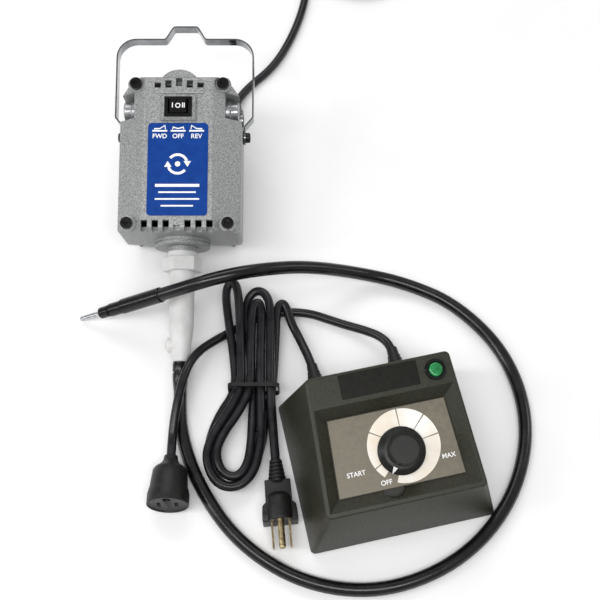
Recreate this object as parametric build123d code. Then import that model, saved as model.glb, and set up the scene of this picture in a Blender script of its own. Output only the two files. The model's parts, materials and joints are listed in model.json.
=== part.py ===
"""Rotary tool with flex shaft: a hang-up motor that lies tilted on its cord boot, its flexible
shaft, and a table-top dial speed control, with their cords. Millimetres, +Z up, table at Z = 0.
The origin is below the middle of the motor and the control box."""
from build123d import *
from math import atan2, cos, degrees, hypot, pi, radians, sin, tan
import os

# ------------------------------------------------------------------ driving sizes
# Motor housing, in the motor's frame: +Z up its axis, the face towards -Y, Z = 0 at its bottom.
BODY_WIDTH = 93.0
BODY_DEPTH = 86.0
BODY_HEIGHT = 119.0
BODY_WALL = 4.0
BODY_CORNER = 4.0
BACK_CORNER = 3.0
PARTING_Y = 10.0
REAR_DRAFT = 6.0
TOP_CHAMFER_X = 11.0
TOP_CHAMFER_Z = 13.0
FACE_WIDTH = 52.0
RIDGE_WIDTH = 76.6
RIDGE_DEPTH = 9.0
SIDE_EDGE_DEPTH = 15.0
REAR_TAPER = 7.0
MOTOR_TILT = 17.0
MOTOR_X = -88.75
MOTOR_Y = 32.5

CORNER_SCREW_TOP_X = 33.0
CORNER_SCREW_LOW_X = 37.6
CORNER_SCREW_INSET = 5.3
CORNER_PAD_RADIUS = 6.2
CORNER_PAD_DEPTH = 4.0
CAP_SCREW_HEAD_R = 4.5
CAP_SCREW_HEAD = 4.5
CAP_SCREW_R = 2.1

VENT_WIDTH = 4.8
VENT_PITCH = 8.1
VENT_HEIGHT = 7.4
CROWN_WIDTH = 26.0
CROWN_RISE = 6.0
CROWN_DEPTH = 30.0

POCKET_X = 34.5
POCKET_LOW_Z = 88.0
POCKET_HEIGHT = 20.0
POCKET_FLOOR_Y = -2.0
BRUSH_TUBE_R = 6.2
BRUSH_TUBE_WALL = 1.2
BRUSH_CAP_REACH = 0.3

# Hanger bail: a bent strip on two side screws.
PIVOT_Z = 84.0
BAIL_WIDTH = 11.0
BAIL_THICK = 1.2
BAIL_HALF_SPAN = 54.2
BAIL_RISE = 80.0
BAIL_CORNER = 15.0
BAIL_STEP_LOW = 7.7
BAIL_STEP_HIGH = 15.1
HOOK_RISE = 10.5
HOOK_BASE_HALF = 15.8
HOOK_TOP_HALF = 9.5
BAIL_WASHER = 0.8
BAIL_SCREW_R = 2.5
BAIL_SCREW_HEAD_R = 4.0
BAIL_SCREW_HEAD = 3.8

# Switch and label on the face.
SWITCH_Z = 93.65
SWITCH_PAD = (26.4, 20.3, 3.0)
SWITCH_FLANGE = (20.7, 15.6, 1.8)
SWITCH_BARREL = (18.6, 13.2, 20.0)
ROCKER_WINDOW = (15.2, 11.2)
ROCKER_WIDTH = 12.6
ROCKER_SPIN_GAP = 0.3
LABEL_WIDTH = 45.2
LABEL_HEIGHT = 71.4
LABEL_LOW_Z = 10.5
LABEL_THICK = 0.5

# Rotating and magnetic parts on the motor axis.
SHAFT_R = 4.0
SHAFT_LOW_Z = -30.0
SHAFT_TOP_Z = 114.0
BEARING_R = 11.0
BEARING_WIDTH = 7.0
RUNNING_GAP = 0.05
CORE_R = 21.3
CORE_LOW_Z = 38.0
CORE_LENGTH = 36.0
AIR_GAP = 0.6
STATOR_R = 37.0
STATOR_FLAT = 34.0
WINDING_OVERHANG = 8.0
COMMUTATOR_R = 12.0
COMMUTATOR_LENGTH = 13.6
FAN_R = 31.0
FAN_LOW_Z = 14.0
FAN_HEIGHT = 10.0
FAN_BLADES = 9
BRUSH_SIZE = 6.4

# End bell and nylon connector below the housing.
BELL_R = 21.5
BELL_HEIGHT = 5.5
BELL_GROOVE = 1.0
NECK_R = 12.0
NECK_HEIGHT = 3.5
SPIGOT_R = 8.0
SPIGOT_LENGTH = 13.0
CONNECTOR_TOP_R = 11.5
CONNECTOR_R = 9.75
CONNECTOR_END_R = 6.6
HEX_FLATS = 26.6
HEX_LOW_Z = -24.2
HEX_TOP_Z = -13.2
TAPER_TOP_Z = -66.0
CONNECTOR_END_Z = -94.0
CONNECTOR_BORE_R = 7.0
SET_SCREW_Z = -81.4
SET_SCREW_REACH = 11.1
SET_SCREW_R = 2.2
COUPLING_R = 5.6
COUPLING_LENGTH = 26.0
FLEX_CORE_R = 2.0

# Flexible sheath and its ends.
SHEATH_D = 10.0
SHEATH_COLLAR_R = 5.7
SHEATH_COLLAR = 2.0
SHEATH_FERRULE_R = 5.2
TIP_FERRULE_R = 5.9
TIP_FERRULE_LENGTH = 38.0
TIP_RING_R = (5.2, 4.5)
TIP_RING_LENGTH = (11.6, 8.6)
TIP_RING_GAP = 1.4
TIP_NECK_R = 3.4
TIP_BORE_R = 2.1
TIP_ROD_R = 2.2
TIP_INNER_R = 2.0
TIP_SHOULDER = 6.0
TIP_KEY = 4.0
TIP_ROD_REACH = 21.0

# Mains cords.
CORD_D = 6.8
MOTOR_CORD_D = 7.0
BOOT_X = 27.0
BOOT_Z = 100.0
BOOT_R = 5.2
BOOT_BEND_R = 22.0
BOOT_FLANGE_R = 9.0
BOOT_FLANGE = 3.0
BOOT_HEADING = (0.17, 0.985)
BOOT_EXIT_Z = 5.8
BOOT_TAIL = 4.0
COIL_CENTRE = (60.0, 368.0)
COIL_MEAN_R = 42.0
COIL_LAYERS = 3
COIL_HEIGHT = 14.2
COIL_TAIL = 32.0
PLUG_AXIS_Z = 12.0
PLUG_RELIEF = 16.0
PLUG_NECK = (20.5, 20.0)
PLUG_FACE = (28.0, 24.0)
PLUG_SHOULDER = 18.0
PLUG_LENGTH = 46.0
BLADE = (1.5, 6.35, 18.0)
BLADE_PITCH = 12.7
BLADE_DROP = 4.0
GROUND_R = 2.4
GROUND_LENGTH = 21.0
GROUND_OFFSET = 11.9
PRONG_ROOT = 8.0

# Dial control box, in its own frame: the front top edge runs along X through the frame's origin.
BOX_X = 76.04
BOX_Y = -179.99
BOX_TURN = 12.5
BOX_TOP_WIDTH = 113.0
BOX_SLOPE_LENGTH = 96.0
BOX_SLOPE = 15.0
BOX_FRONT_HEIGHT = 58.0
BOX_SIDE_DRAFT = 0.21
BOX_FRONT_DRAFT = 0.14
BOX_BACK_DRAFT = 0.19
BOX_WALL = 2.6
BOX_CORNER = 3.6
BOX_GROUND_GAP = 1.5
BASE_THICK = 2.5
BASE_GAP = 0.4
FOOT_R = 7.0
FOOT_INSET = 17.0

RECESS_DEPTH = 6.8
RECESS_BEVEL = 8.0
RECESS_RIM = 2.8
RECESS_LOW = 3.2
RECESS_HIGH = 73.5
DIAL_PLATE_THICK = 0.8
DIAL_CENTRE = (4.2, 35.0)
NOTCH_CENTRE = (-6.3, 13.2)
NOTCH_R = 8.6
NOTCH_DEPTH = 12.0
NAME_PLATE = (55.4, 16.8)
NAME_PLATE_CENTRE = (-0.8, 85.4)
NAME_PLATE_DEPTH = 1.2
NAME_PLATE_THICK = 0.8
LAMP_CENTRE = (39.3, 84.4)
LAMP_BEZEL_R = 7.5
LAMP_BARREL_R = 6.1
LAMP_LENS_R = 5.0
LAMP_BEZEL_HEIGHT = 2.0

KNOB_SKIRT_R = 16.75
KNOB_CAP_R = 10.6
KNOB_HEIGHT = 16.2
KNOB_GAP = 0.6
KNOB_OFF_ANGLE = 235.0
POT_SHAFT_R = 3.0
POT_BUSH_R = 4.7
POT_BODY_R = 12.0
POT_BODY_HEIGHT = 9.0
POT_NUT_FLATS = 14.0
POT_NUT_HEIGHT = 2.2

GLAND_LENGTH = 16.0
GLAND_R = 6.0
GLAND_Z = 13.0
SUPPLY_GLAND_X = -37.0
OUTPUT_GLAND_X = 26.0
BOARD = (78.0, 56.0, 1.6)
BOARD_Z = 12.0

RECEPTACLE_LENGTH = 38.0
RECEPTACLE_FACE_R = 15.4
RECEPTACLE_SHOULDER_R = 12.5
RECEPTACLE_TAIL_R = 5.4
RECEPTACLE_SHOULDER = 11.0

# ------------------------------------------------------------------ cord routes
# Each list runs from where the cord leaves its fitting. The first and last runs lie along the
# fittings' axes; the points between are where the cord is laid by hand.
SHEATH_FIRST_RUN = 19.0
SHEATH_ROUTE = [
    (-87, -112, 5.2), (-72, -153, 5.2), (-41, -196, 5.2), (7, -225, 5.2),
    (64, -230, 5.2), (121, -206, 5.2), (160, -161, 5.2), (175.5, -104, 5.2), (163, -48, 5.2),
    (127, -6, 5.2), (88, 13, 5.2), (50, 19, 12), (8, 10, 40.5), (-26.5, -1.5, 57.5), (-54, -10, 63),
]
TIP_BACK = (-101.9, -16.6, 45.0)
TIP_AIM = (-67.8, -0.8, -42.2)
TIP_LAST_RUN = 26.0
GLAND_FIRST_RUN = 10.0
OUTPUT_ROUTE = [
    (65.5, -36, 11), (53, -29, 7.3), (34, -21.5, 3.6), (5, -10.5, 3.6), (-28, -14, 3.6),
    (-48, -27, 3.9), (-63, -38, 8.2), (-74, -49.5, 15.5), (-81, -62.5, 21.5), (-85.5, -78, 22.5),
    (-88.5, -93, 19.5), (-90.8, -107, 15.5),
]
RECEPTACLE_TAIL = (-92.0, -133.0, 12.2)
RECEPTACLE_RISE = 6.3
RECEPTACLE_LAST_RUN = 14.0
SUPPLY_ROUTE = [(5, -43.5, 10.5), (0, -32.5, 9.6), (-4.5, -23.5, 10.8)]
PLUG_STRAND = [(-19.5, -84, 14.5), (-17.9, -101, 11)]
SUPPLY_PLUG_TAIL = (-15.2, -135.6, PLUG_AXIS_Z)
SUPPLY_PLUG_HEADING = (0.09, -0.996)
PLUG_LAST_RUN = 16.0
MOTOR_FIRST_RUN = 18.0
MOTOR_CORD_ROUTE = [(-44.5, 206, 3.7), (-21, 229.5, 3.7), (-5, 262, 3.7), (6, 298, 3.7)]
MOTOR_CORD_END = (11.0, 334.0, 3.7)
HANK_OUTLINE = [
    (-55, 2), (-47, 15), (-38, 12.5), (-30, 6), (-18, 0), (-9.5, -12), (-12, -40), (-17.5, -79),
    (-25.5, -86), (-23, -104), (-23, -130), (-33, -153.5), (-53, -159.5), (-64, -146),
    (-71.5, -123), (-67, -102), (-46.5, -79), (-46, -28),
]
HANK_PROFILE = [
    (20, 7.7), (-60, 7.7), (-92, 0.3), (-166, 0.3), (-166, 13.5), (-100, 14.5), (-50, 21.5),
    (20, 21.5),
]
HANK_STUB = 12.0
TIE_Y = -79.5
TIE_WIDTH = 3.0
TIE_THICK = 1.2
TIE_SPAN = (-50.5, -14.0)
TIE_RISE = (2.2, 19.8)

# ------------------------------------------------------------------ frames
tilt = radians(MOTOR_TILT)
back_y = BODY_DEPTH / 2
face_y = -BODY_DEPTH / 2
draft_slope = REAR_DRAFT / (back_y - PARTING_Y)
edge_y = back_y - BACK_CORNER
edge_z = (edge_y - PARTING_Y) * draft_slope + BACK_CORNER * hypot(1, draft_slope)
axis_height = BACK_CORNER + edge_y * cos(tilt) - edge_z * sin(tilt)
MOTOR = Location((MOTOR_X, MOTOR_Y, axis_height), (MOTOR_TILT - 90, 0, 0))
BOX = Location((BOX_X, BOX_Y, 0), (0, 0, BOX_TURN))
SLOPE = BOX * Location((0, 0, BOX_FRONT_HEIGHT), (BOX_SLOPE, 0, 0))


def prism(points, plane, depth, radius=0.0, inset=0.0):
    """A polygon on a plane, its corners rounded, drawn in by inset and extruded both ways."""
    face = Polygon(*points, align=None)
    if radius:
        face = fillet(face.vertices(), radius)
    if inset:
        face = offset(face, amount=-inset, kind=Kind.INTERSECTION)
    return extrude(plane * face, amount=depth, both=True)


def rod(radius, low, high, hole=0.0):
    """A round bar or tube along Z."""
    bar = Pos(0, 0, low) * Cylinder(radius, high - low, align=(Align.CENTER, Align.CENTER, Align.MIN))
    if hole:
        bar -= Pos(0, 0, low - 1) * Cylinder(hole, high - low + 2,
                                             align=(Align.CENTER, Align.CENTER, Align.MIN))
    return bar


def rod_x(radius, low, high, y=0.0, z=0.0, hole=0.0):
    """A round bar or tube along X at the given Y and Z."""
    return Pos(0, y, z) * Rot(0, 90, 0) * rod(radius, low, high, hole)


def rod_y(radius, low, high, x=0.0, z=0.0, hole=0.0):
    """A round bar or tube along Y at the given X and Z."""
    return Pos(x, 0, z) * Rot(-90, 0, 0) * rod(radius, low, high, hole)


def turned(points):
    """A closed profile of (radius, height) points, revolved about Z."""
    face = make_face(Plane.XZ * Polyline(*points, close=True))
    return revolve(face, axis=Axis.Z)


def block(low, high):
    """An upright block between two corners."""
    size = [high[i] - low[i] for i in range(3)]
    return Pos(*low) * Box(*size, align=(Align.MIN, Align.MIN, Align.MIN))


def both_sides(piece):
    """The piece and its mirror image across X = 0."""
    return [piece, mirror(piece, about=Plane.YZ)]


def solids_of(*shapes):
    """Every solid of the shapes, as one flat list."""
    return [solid for shape in shapes for solid in shape.solids()]


# ------------------------------------------------------------------ motor housing
def housing_block(inset):
    """The whole casting's outside, or its hollow when drawn in by a wall."""
    half = BODY_WIDTH / 2
    outline = [
        (-half, 0), (half, 0), (half, BODY_HEIGHT - TOP_CHAMFER_Z),
        (half - TOP_CHAMFER_X, BODY_HEIGHT), (-half + TOP_CHAMFER_X, BODY_HEIGHT),
        (-half, BODY_HEIGHT - TOP_CHAMFER_Z),
    ]
    face_half, ridge_half = FACE_WIDTH / 2, RIDGE_WIDTH / 2
    section = [
        (-face_half, face_y), (face_half, face_y), (ridge_half, face_y + RIDGE_DEPTH),
        (half, face_y + SIDE_EDGE_DEPTH), (half, PARTING_Y), (half - REAR_TAPER, back_y),
        (-half + REAR_TAPER, back_y), (-half, PARTING_Y), (-half, face_y + SIDE_EDGE_DEPTH),
        (-ridge_half, face_y + RIDGE_DEPTH),
    ]
    side = [
        (face_y, 0), (PARTING_Y, 0), (back_y, REAR_DRAFT), (back_y, BODY_HEIGHT - REAR_DRAFT),
        (PARTING_Y, BODY_HEIGHT), (face_y, BODY_HEIGHT),
    ]
    body = prism(outline, Plane.XZ, BODY_DEPTH, BODY_CORNER, inset)
    body &= prism(section, Plane.XY, BODY_HEIGHT * 2, 2.0, inset)
    return body & prism(side, Plane.YZ, BODY_WIDTH, BACK_CORNER if not inset else 2.0, inset)


def side_pocket(grow):
    """The notch in an upper side that shows the brush tube, with a wall's growth if asked."""
    right = block((POCKET_X - grow, face_y - 5, POCKET_LOW_Z - grow),
                  (BODY_WIDTH / 2 + 5, POCKET_FLOOR_Y + grow, POCKET_LOW_Z + POCKET_HEIGHT + grow))
    return both_sides(right)


def corner_screws():
    """Places of the four cap screws in the face, as X and Z."""
    top = BODY_HEIGHT - CORNER_SCREW_INSET
    return [(side * x, z) for side in (-1, 1)
            for x, z in ((CORNER_SCREW_TOP_X, top), (CORNER_SCREW_LOW_X, CORNER_SCREW_INSET))]


pad_y = face_y + CORNER_PAD_DEPTH
brush_z = POCKET_LOW_Z + POCKET_HEIGHT / 2
upper_bearing_z = BODY_HEIGHT - BODY_WALL - BEARING_WIDTH - 2.0
crown_r = (CROWN_WIDTH ** 2 / 4 + CROWN_RISE ** 2) / (2 * CROWN_RISE)
crown_front = face_y + 2.0


def make_housing():
    """Front and rear castings, split at the parting plane."""
    outer = housing_block(0)
    outline_limit = block((-BODY_WIDTH / 2, face_y - 1, 0), (BODY_WIDTH / 2, back_y, BODY_HEIGHT))
    crown = rod_y(crown_r, crown_front, crown_front + CROWN_DEPTH, z=BODY_HEIGHT + CROWN_RISE - crown_r)
    crown &= block((-CROWN_WIDTH, face_y, BODY_HEIGHT - 6), (CROWN_WIDTH, back_y, BODY_HEIGHT * 2))
    outer += crown
    for x, z in corner_screws():
        outer -= rod_y(CORNER_PAD_RADIUS, face_y - 1, pad_y, x, z)
        outer += rod_y(CORNER_PAD_RADIUS, pad_y, pad_y + 20, x, z) & outline_limit
    pad_w, pad_h, pad_t = SWITCH_PAD
    switch_pad = block((-pad_w / 2, face_y - pad_t, SWITCH_Z - pad_h / 2),
                       (pad_w / 2, face_y + 1, SWITCH_Z + pad_h / 2))
    outer += chamfer(switch_pad.edges().group_by(Axis.Y)[0], 1.0)

    hollow = housing_block(BODY_WALL)
    for grown in side_pocket(BODY_WALL - 1):
        hollow -= grown
    for x, z in corner_screws():
        hollow -= rod_y(CORNER_PAD_RADIUS, face_y, back_y, x, z)
    hollow -= rod(BEARING_R + 3, upper_bearing_z - 1, BODY_HEIGHT)
    casting = outer - hollow
    for pocket in side_pocket(0):
        casting -= pocket
    casting -= rod(BEARING_R, upper_bearing_z, upper_bearing_z + BEARING_WIDTH)
    casting -= rod(SHAFT_R + 1, upper_bearing_z - 3, BODY_HEIGHT - 2)
    casting -= rod(BEARING_R + 4, -1, BODY_WALL + 2)
    casting -= rod_x(BRUSH_TUBE_R, -BODY_WIDTH, BODY_WIDTH, z=brush_z)
    casting -= rod_x(BAIL_SCREW_R, -BODY_WIDTH, BODY_WIDTH, z=PIVOT_Z)
    for x, z in corner_screws():
        casting -= rod_y(CAP_SCREW_R, face_y - 1, back_y - BODY_WALL, x, z)
    barrel_w, barrel_h, barrel_t = SWITCH_BARREL
    casting -= block((-barrel_w / 2, face_y - 9, SWITCH_Z - barrel_h / 2),
                     (barrel_w / 2, face_y + barrel_t, SWITCH_Z + barrel_h / 2))
    for step in range(-2, 3):
        x = step * VENT_PITCH
        top_z = BODY_HEIGHT - 1.5 - abs(step) * 1.8
        casting -= block((x - VENT_WIDTH / 2, face_y - 1, top_z - VENT_HEIGHT + 1),
                         (x + VENT_WIDTH / 2, face_y + 9, top_z))
    for step in (-3, -2, -1, 1, 2, 3):
        x = step * VENT_PITCH
        casting -= block((x - VENT_WIDTH / 2, face_y - 1, -1), (x + VENT_WIDTH / 2, face_y + 9, VENT_HEIGHT))
    casting -= block((-2.4, face_y - 1, -1), (2.4, face_y + 3, 3.5))
    casting -= rod_y(BOOT_R, back_y - BODY_WALL - 1, back_y + 1, BOOT_X, BOOT_Z)

    front_half = block((-BODY_WIDTH, -BODY_DEPTH, -5), (BODY_WIDTH, PARTING_Y, BODY_HEIGHT + 20))
    return casting & front_half, casting - front_half


def make_cap_screws():
    """Black socket cap screws with their hex sockets."""
    screws = []
    for x, z in corner_screws():
        head = rod_y(CAP_SCREW_HEAD_R, pad_y - CAP_SCREW_HEAD, pad_y, x, z)
        head = chamfer(head.edges().group_by(Axis.Y)[0], 0.6)
        socket = Plane.XZ.offset(-pad_y + CAP_SCREW_HEAD) * Pos(x, z) * RegularPolygon(2.3, 6)
        head -= extrude(socket, amount=-2.4)
        screws.append(head + rod_y(CAP_SCREW_R, pad_y, back_y - BODY_WALL - 4, x, z))
    return screws


def make_label():
    """The thin label plate on the face."""
    plate = Pos(0, LABEL_LOW_Z + LABEL_HEIGHT / 2) * RectangleRounded(LABEL_WIDTH, LABEL_HEIGHT, 3.0)
    return extrude(Plane.XZ.offset(-face_y) * plate, amount=LABEL_THICK)


# ------------------------------------------------------------------ hanger bail
side_x = BODY_WIDTH / 2
eye_x = side_x + BAIL_WASHER + BAIL_THICK / 2


def make_bail():
    """A strip bent over the motor, with a raised hook seat in the middle of its top."""
    top = PIVOT_Z + BAIL_RISE
    right = [
        (HOOK_TOP_HALF, top + HOOK_RISE), (HOOK_BASE_HALF, top), (BAIL_HALF_SPAN, top),
        (BAIL_HALF_SPAN, PIVOT_Z + BAIL_STEP_HIGH), (eye_x, PIVOT_Z + BAIL_STEP_LOW), (eye_x, PIVOT_Z),
    ]
    left = [(-x, z) for x, z in reversed(right)]
    bends = [3.0, 3.0, BAIL_CORNER, 2.0, 2.0]
    path = FilletPolyline(*[(x, 0, z) for x, z in left + right], radius=bends[::-1] + bends)
    start = Plane(origin=path @ 0, x_dir=(0, 1, 0), z_dir=path % 0)
    strip = sweep(start * Rectangle(BAIL_WIDTH, BAIL_THICK), path)
    for side in (-1, 1):
        inner, outer = sorted((side * (eye_x - BAIL_THICK / 2), side * (eye_x + BAIL_THICK / 2)))
        strip += rod_x(BAIL_WIDTH / 2, inner, outer, z=PIVOT_Z)
        strip -= rod_x(BAIL_SCREW_R + 0.1, inner - 1, outer + 1, z=PIVOT_Z)
    return strip


def make_bail_screws():
    """Side screws and their washers, which the bail turns on."""
    outer_x = eye_x + BAIL_THICK / 2
    head = rod_x(BAIL_SCREW_HEAD_R, outer_x, outer_x + BAIL_SCREW_HEAD, z=PIVOT_Z)
    head = fillet(head.edges().group_by(Axis.X)[-1], 1.4)
    head -= rod_x(1.6, outer_x + BAIL_SCREW_HEAD - 1.8, outer_x + BAIL_SCREW_HEAD + 1, z=PIVOT_Z)
    screw = head + rod_x(BAIL_SCREW_R, side_x - BODY_WALL, outer_x, z=PIVOT_Z)
    washer = rod_x(BAIL_WIDTH / 2, side_x, side_x + BAIL_WASHER, z=PIVOT_Z, hole=BAIL_SCREW_R)
    return both_sides(screw) + both_sides(washer)


# ------------------------------------------------------------------ rocker switch
flange_y = face_y - SWITCH_PAD[2] - SWITCH_FLANGE[2]
rocker_axis_y = flange_y + 3.6


def make_switch():
    """Switch body with its bezel, and the rocker that tips sideways in it."""
    flange_w, flange_h, flange_t = SWITCH_FLANGE
    barrel_w, barrel_h, barrel_t = SWITCH_BARREL
    window_w, window_h = ROCKER_WINDOW
    body = block((-flange_w / 2, flange_y, SWITCH_Z - flange_h / 2),
                 (flange_w / 2, flange_y + flange_t, SWITCH_Z + flange_h / 2))
    body = chamfer(body.edges().group_by(Axis.Y)[0], 0.5)
    body += block((-barrel_w / 2, flange_y + flange_t, SWITCH_Z - barrel_h / 2),
                  (barrel_w / 2, flange_y + barrel_t, SWITCH_Z + barrel_h / 2))
    body -= block((-window_w / 2, flange_y - 1, SWITCH_Z - window_h / 2),
                  (window_w / 2, flange_y + 10, SWITCH_Z + window_h / 2))
    body -= Pos(0, rocker_axis_y, SWITCH_Z) * rod(1.05, -window_h / 2 - 0.8, window_h / 2 + 0.8)
    half = ROCKER_WIDTH / 2
    outline = [
        (-half, flange_y - 1.4), (0, flange_y - 0.5), (half, flange_y - 1.4), (half, flange_y + 2.2),
        (2.5, flange_y + 6.5), (-2.5, flange_y + 6.5), (-half, flange_y + 2.2),
    ]
    tall = window_h / 2 - ROCKER_SPIN_GAP
    rocker = Pos(0, 0, SWITCH_Z) * extrude(Polygon(*outline, align=None), amount=tall, both=True)
    rocker += Pos(0, rocker_axis_y, SWITCH_Z) * rod(1.0, -tall - 0.8, tall + 0.8)
    return body, rocker


# ------------------------------------------------------------------ inside the motor
def make_bearing(low_z):
    """A ball bearing's rings, drawn as one ring with running clearance on the shaft."""
    ring = rod(BEARING_R, low_z, low_z + BEARING_WIDTH, hole=SHAFT_R + RUNNING_GAP)
    groove = rod(BEARING_R - 2.2, low_z - 1, low_z + 0.8, hole=SHAFT_R + 2.4)
    return ring - groove - Pos(0, 0, BEARING_WIDTH + 0.2) * groove


lower_bearing_z = -1.0
coupling_top_z = SHAFT_LOW_Z + 8.0
commutator_z = brush_z - COMMUTATOR_LENGTH / 2


def make_armature():
    """Shaft, laminations, end windings, commutator, fan, coupling and the driven end of the core."""
    shaft = rod(SHAFT_R, SHAFT_LOW_Z, SHAFT_TOP_Z)
    core = rod(CORE_R, CORE_LOW_Z, CORE_LOW_Z + CORE_LENGTH, hole=SHAFT_R)
    slot_count = 12
    for index in range(slot_count):
        slot = block((CORE_R - 6, -1.2, CORE_LOW_Z - 1), (CORE_R + 1, 1.2, CORE_LOW_Z + CORE_LENGTH + 1))
        core -= Rot(0, 0, 360 / slot_count * index) * slot
    windings = []
    for low in (CORE_LOW_Z - WINDING_OVERHANG, CORE_LOW_Z + CORE_LENGTH):
        head = rod(CORE_R - 2, low, low + WINDING_OVERHANG, hole=SHAFT_R + 1.5)
        rims = head.edges().filter_by(GeomType.CIRCLE).group_by(SortBy.RADIUS)[-1]
        windings.append(fillet(rims, 2.5))
    commutator = rod(COMMUTATOR_R, commutator_z, commutator_z + COMMUTATOR_LENGTH, hole=SHAFT_R)
    bars = 16
    for index in range(bars):
        groove = block((COMMUTATOR_R - 1, -0.3, commutator_z - 1),
                       (COMMUTATOR_R + 1, 0.3, commutator_z + COMMUTATOR_LENGTH + 1))
        commutator -= Rot(0, 0, 360 / bars * index) * groove
    fan = rod(FAN_R, FAN_LOW_Z, FAN_LOW_Z + 1.5, hole=SHAFT_R)
    fan += rod(SHAFT_R + 4, FAN_LOW_Z, FAN_LOW_Z + FAN_HEIGHT, hole=SHAFT_R)
    for index in range(FAN_BLADES):
        blade = block((SHAFT_R + 3, -0.8, FAN_LOW_Z), (FAN_R - 0.5, 0.8, FAN_LOW_Z + FAN_HEIGHT))
        fan += Rot(0, 0, 360 / FAN_BLADES * index) * blade
    coupling = rod(COUPLING_R, coupling_top_z - COUPLING_LENGTH, coupling_top_z)
    coupling -= rod(SHAFT_R, SHAFT_LOW_Z, coupling_top_z + 1)
    coupling -= rod(FLEX_CORE_R, coupling_top_z - COUPLING_LENGTH - 1, SHAFT_LOW_Z + 1)
    coupling -= rod_x(1.5, 0, COUPLING_R + 1, z=coupling_top_z - 4)
    flex_core = rod(FLEX_CORE_R, CONNECTOR_END_Z, SHAFT_LOW_Z)
    return shaft, core, windings, commutator, fan, coupling, flex_core


def make_stator():
    """Field laminations around the armature, and the four coil ends."""
    top = CORE_LOW_Z + CORE_LENGTH
    bore = CORE_R + AIR_GAP
    stack = rod(STATOR_R, CORE_LOW_Z, top, hole=bore)
    stack &= block((-STATOR_R, -STATOR_FLAT, 0), (STATOR_R, STATOR_FLAT, BODY_HEIGHT))
    coils = []
    for low in (CORE_LOW_Z - WINDING_OVERHANG, top):
        ring = rod(STATOR_R - 4, low, low + WINDING_OVERHANG, hole=bore + 1.5)
        for side in (-1, 1):
            cut = block((-STATOR_R, 4, 0), (STATOR_R, STATOR_R, BODY_HEIGHT))
            coils.append(ring & (cut if side > 0 else mirror(cut, about=Plane.XZ)))
    return stack, coils


def make_brushes():
    """Tubes, carbon brushes, springs and end caps, one set each side."""
    inner_x = COMMUTATOR_R + 1.2
    tube = rod_x(BRUSH_TUBE_R, inner_x, side_x, z=brush_z)
    channel = block((inner_x - 1, -BRUSH_SIZE / 2 - 0.1, brush_z - BRUSH_SIZE / 2 - 0.1),
                    (side_x + 1, BRUSH_SIZE / 2 + 0.1, brush_z + BRUSH_SIZE / 2 + 0.1))
    tube -= channel
    tube -= rod_x(BRUSH_TUBE_R - BRUSH_TUBE_WALL, side_x - 5, side_x + 1, z=brush_z)
    brush = block((COMMUTATOR_R + 0.1, -BRUSH_SIZE / 2, brush_z - BRUSH_SIZE / 2),
                  (COMMUTATOR_R + 15, BRUSH_SIZE / 2, brush_z + BRUSH_SIZE / 2))
    brush -= rod_x(COMMUTATOR_R + 0.1, -1, 1, z=brush_z)
    spring = rod_x(BRUSH_SIZE / 2 - 0.4, COMMUTATOR_R + 15, side_x - 4, z=brush_z, hole=1.6)
    cap = rod_x(BRUSH_TUBE_R - BRUSH_TUBE_WALL, side_x - 4, side_x + BRUSH_CAP_REACH, z=brush_z)
    cap -= block((side_x + BRUSH_CAP_REACH - 1, -BODY_WALL * 2, brush_z - 0.6), (side_x + 2, BODY_WALL * 2, brush_z + 0.6))
    return both_sides(tube), both_sides(brush), both_sides(spring), both_sides(cap)


# ------------------------------------------------------------------ end bell, connector, sheath end
neck_z = -BELL_HEIGHT - NECK_HEIGHT


def make_end_bell():
    """Grooved ring that closes the housing's bottom, holds the bearing and carries the spigot."""
    bell = turned([
        (0, neck_z - SPIGOT_LENGTH), (SPIGOT_R, neck_z - SPIGOT_LENGTH), (SPIGOT_R, neck_z),
        (NECK_R, neck_z), (NECK_R, -BELL_HEIGHT), (BELL_R - 0.6, -BELL_HEIGHT),
        (BELL_R, -BELL_HEIGHT + 0.6), (BELL_R, -3.2), (BELL_R - BELL_GROOVE, -3.2),
        (BELL_R - BELL_GROOVE, -2.2), (BELL_R, -2.2), (BELL_R, 0), (BEARING_R + 4, 0),
        (BEARING_R + 4, BODY_WALL + 2), (0, BODY_WALL + 2),
    ])
    bell -= rod(BEARING_R, lower_bearing_z, BODY_WALL + 3)
    return bell - rod(SHAFT_R + 2.2, neck_z - SPIGOT_LENGTH - 1, lower_bearing_z + 1)


def make_connector():
    """Light nylon connector: hex for a spanner, long barrel, tapered end with a screw boss."""
    barrel = turned([
        (0, CONNECTOR_END_Z), (CONNECTOR_END_R - 0.6, CONNECTOR_END_Z),
        (CONNECTOR_END_R, CONNECTOR_END_Z + 0.6), (CONNECTOR_R, TAPER_TOP_Z), (CONNECTOR_R, HEX_LOW_Z),
        (CONNECTOR_TOP_R, HEX_LOW_Z), (CONNECTOR_TOP_R, neck_z), (0, neck_z),
    ])
    hexagon = RegularPolygon(HEX_FLATS / 2, 6, major_radius=False)
    nut = Pos(0, 0, HEX_LOW_Z) * extrude(Rot(0, 0, 11) * hexagon, amount=HEX_TOP_Z - HEX_LOW_Z)
    barrel += chamfer(nut.edges().filter_by(Plane.XY), 0.6)
    boss = rod_x(6.0, -SET_SCREW_REACH, 0, z=SET_SCREW_Z)
    barrel += fillet(boss.edges().group_by(Axis.X)[0], 2.5)
    barrel -= rod(SPIGOT_R, neck_z - SPIGOT_LENGTH, neck_z + 1)
    barrel -= rod(CONNECTOR_BORE_R, TAPER_TOP_Z, neck_z)
    barrel -= rod(SHEATH_FERRULE_R, CONNECTOR_END_Z - 1, TAPER_TOP_Z + 1)
    return barrel - rod_x(SET_SCREW_R, -SET_SCREW_REACH - 1, 0, z=SET_SCREW_Z)


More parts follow.
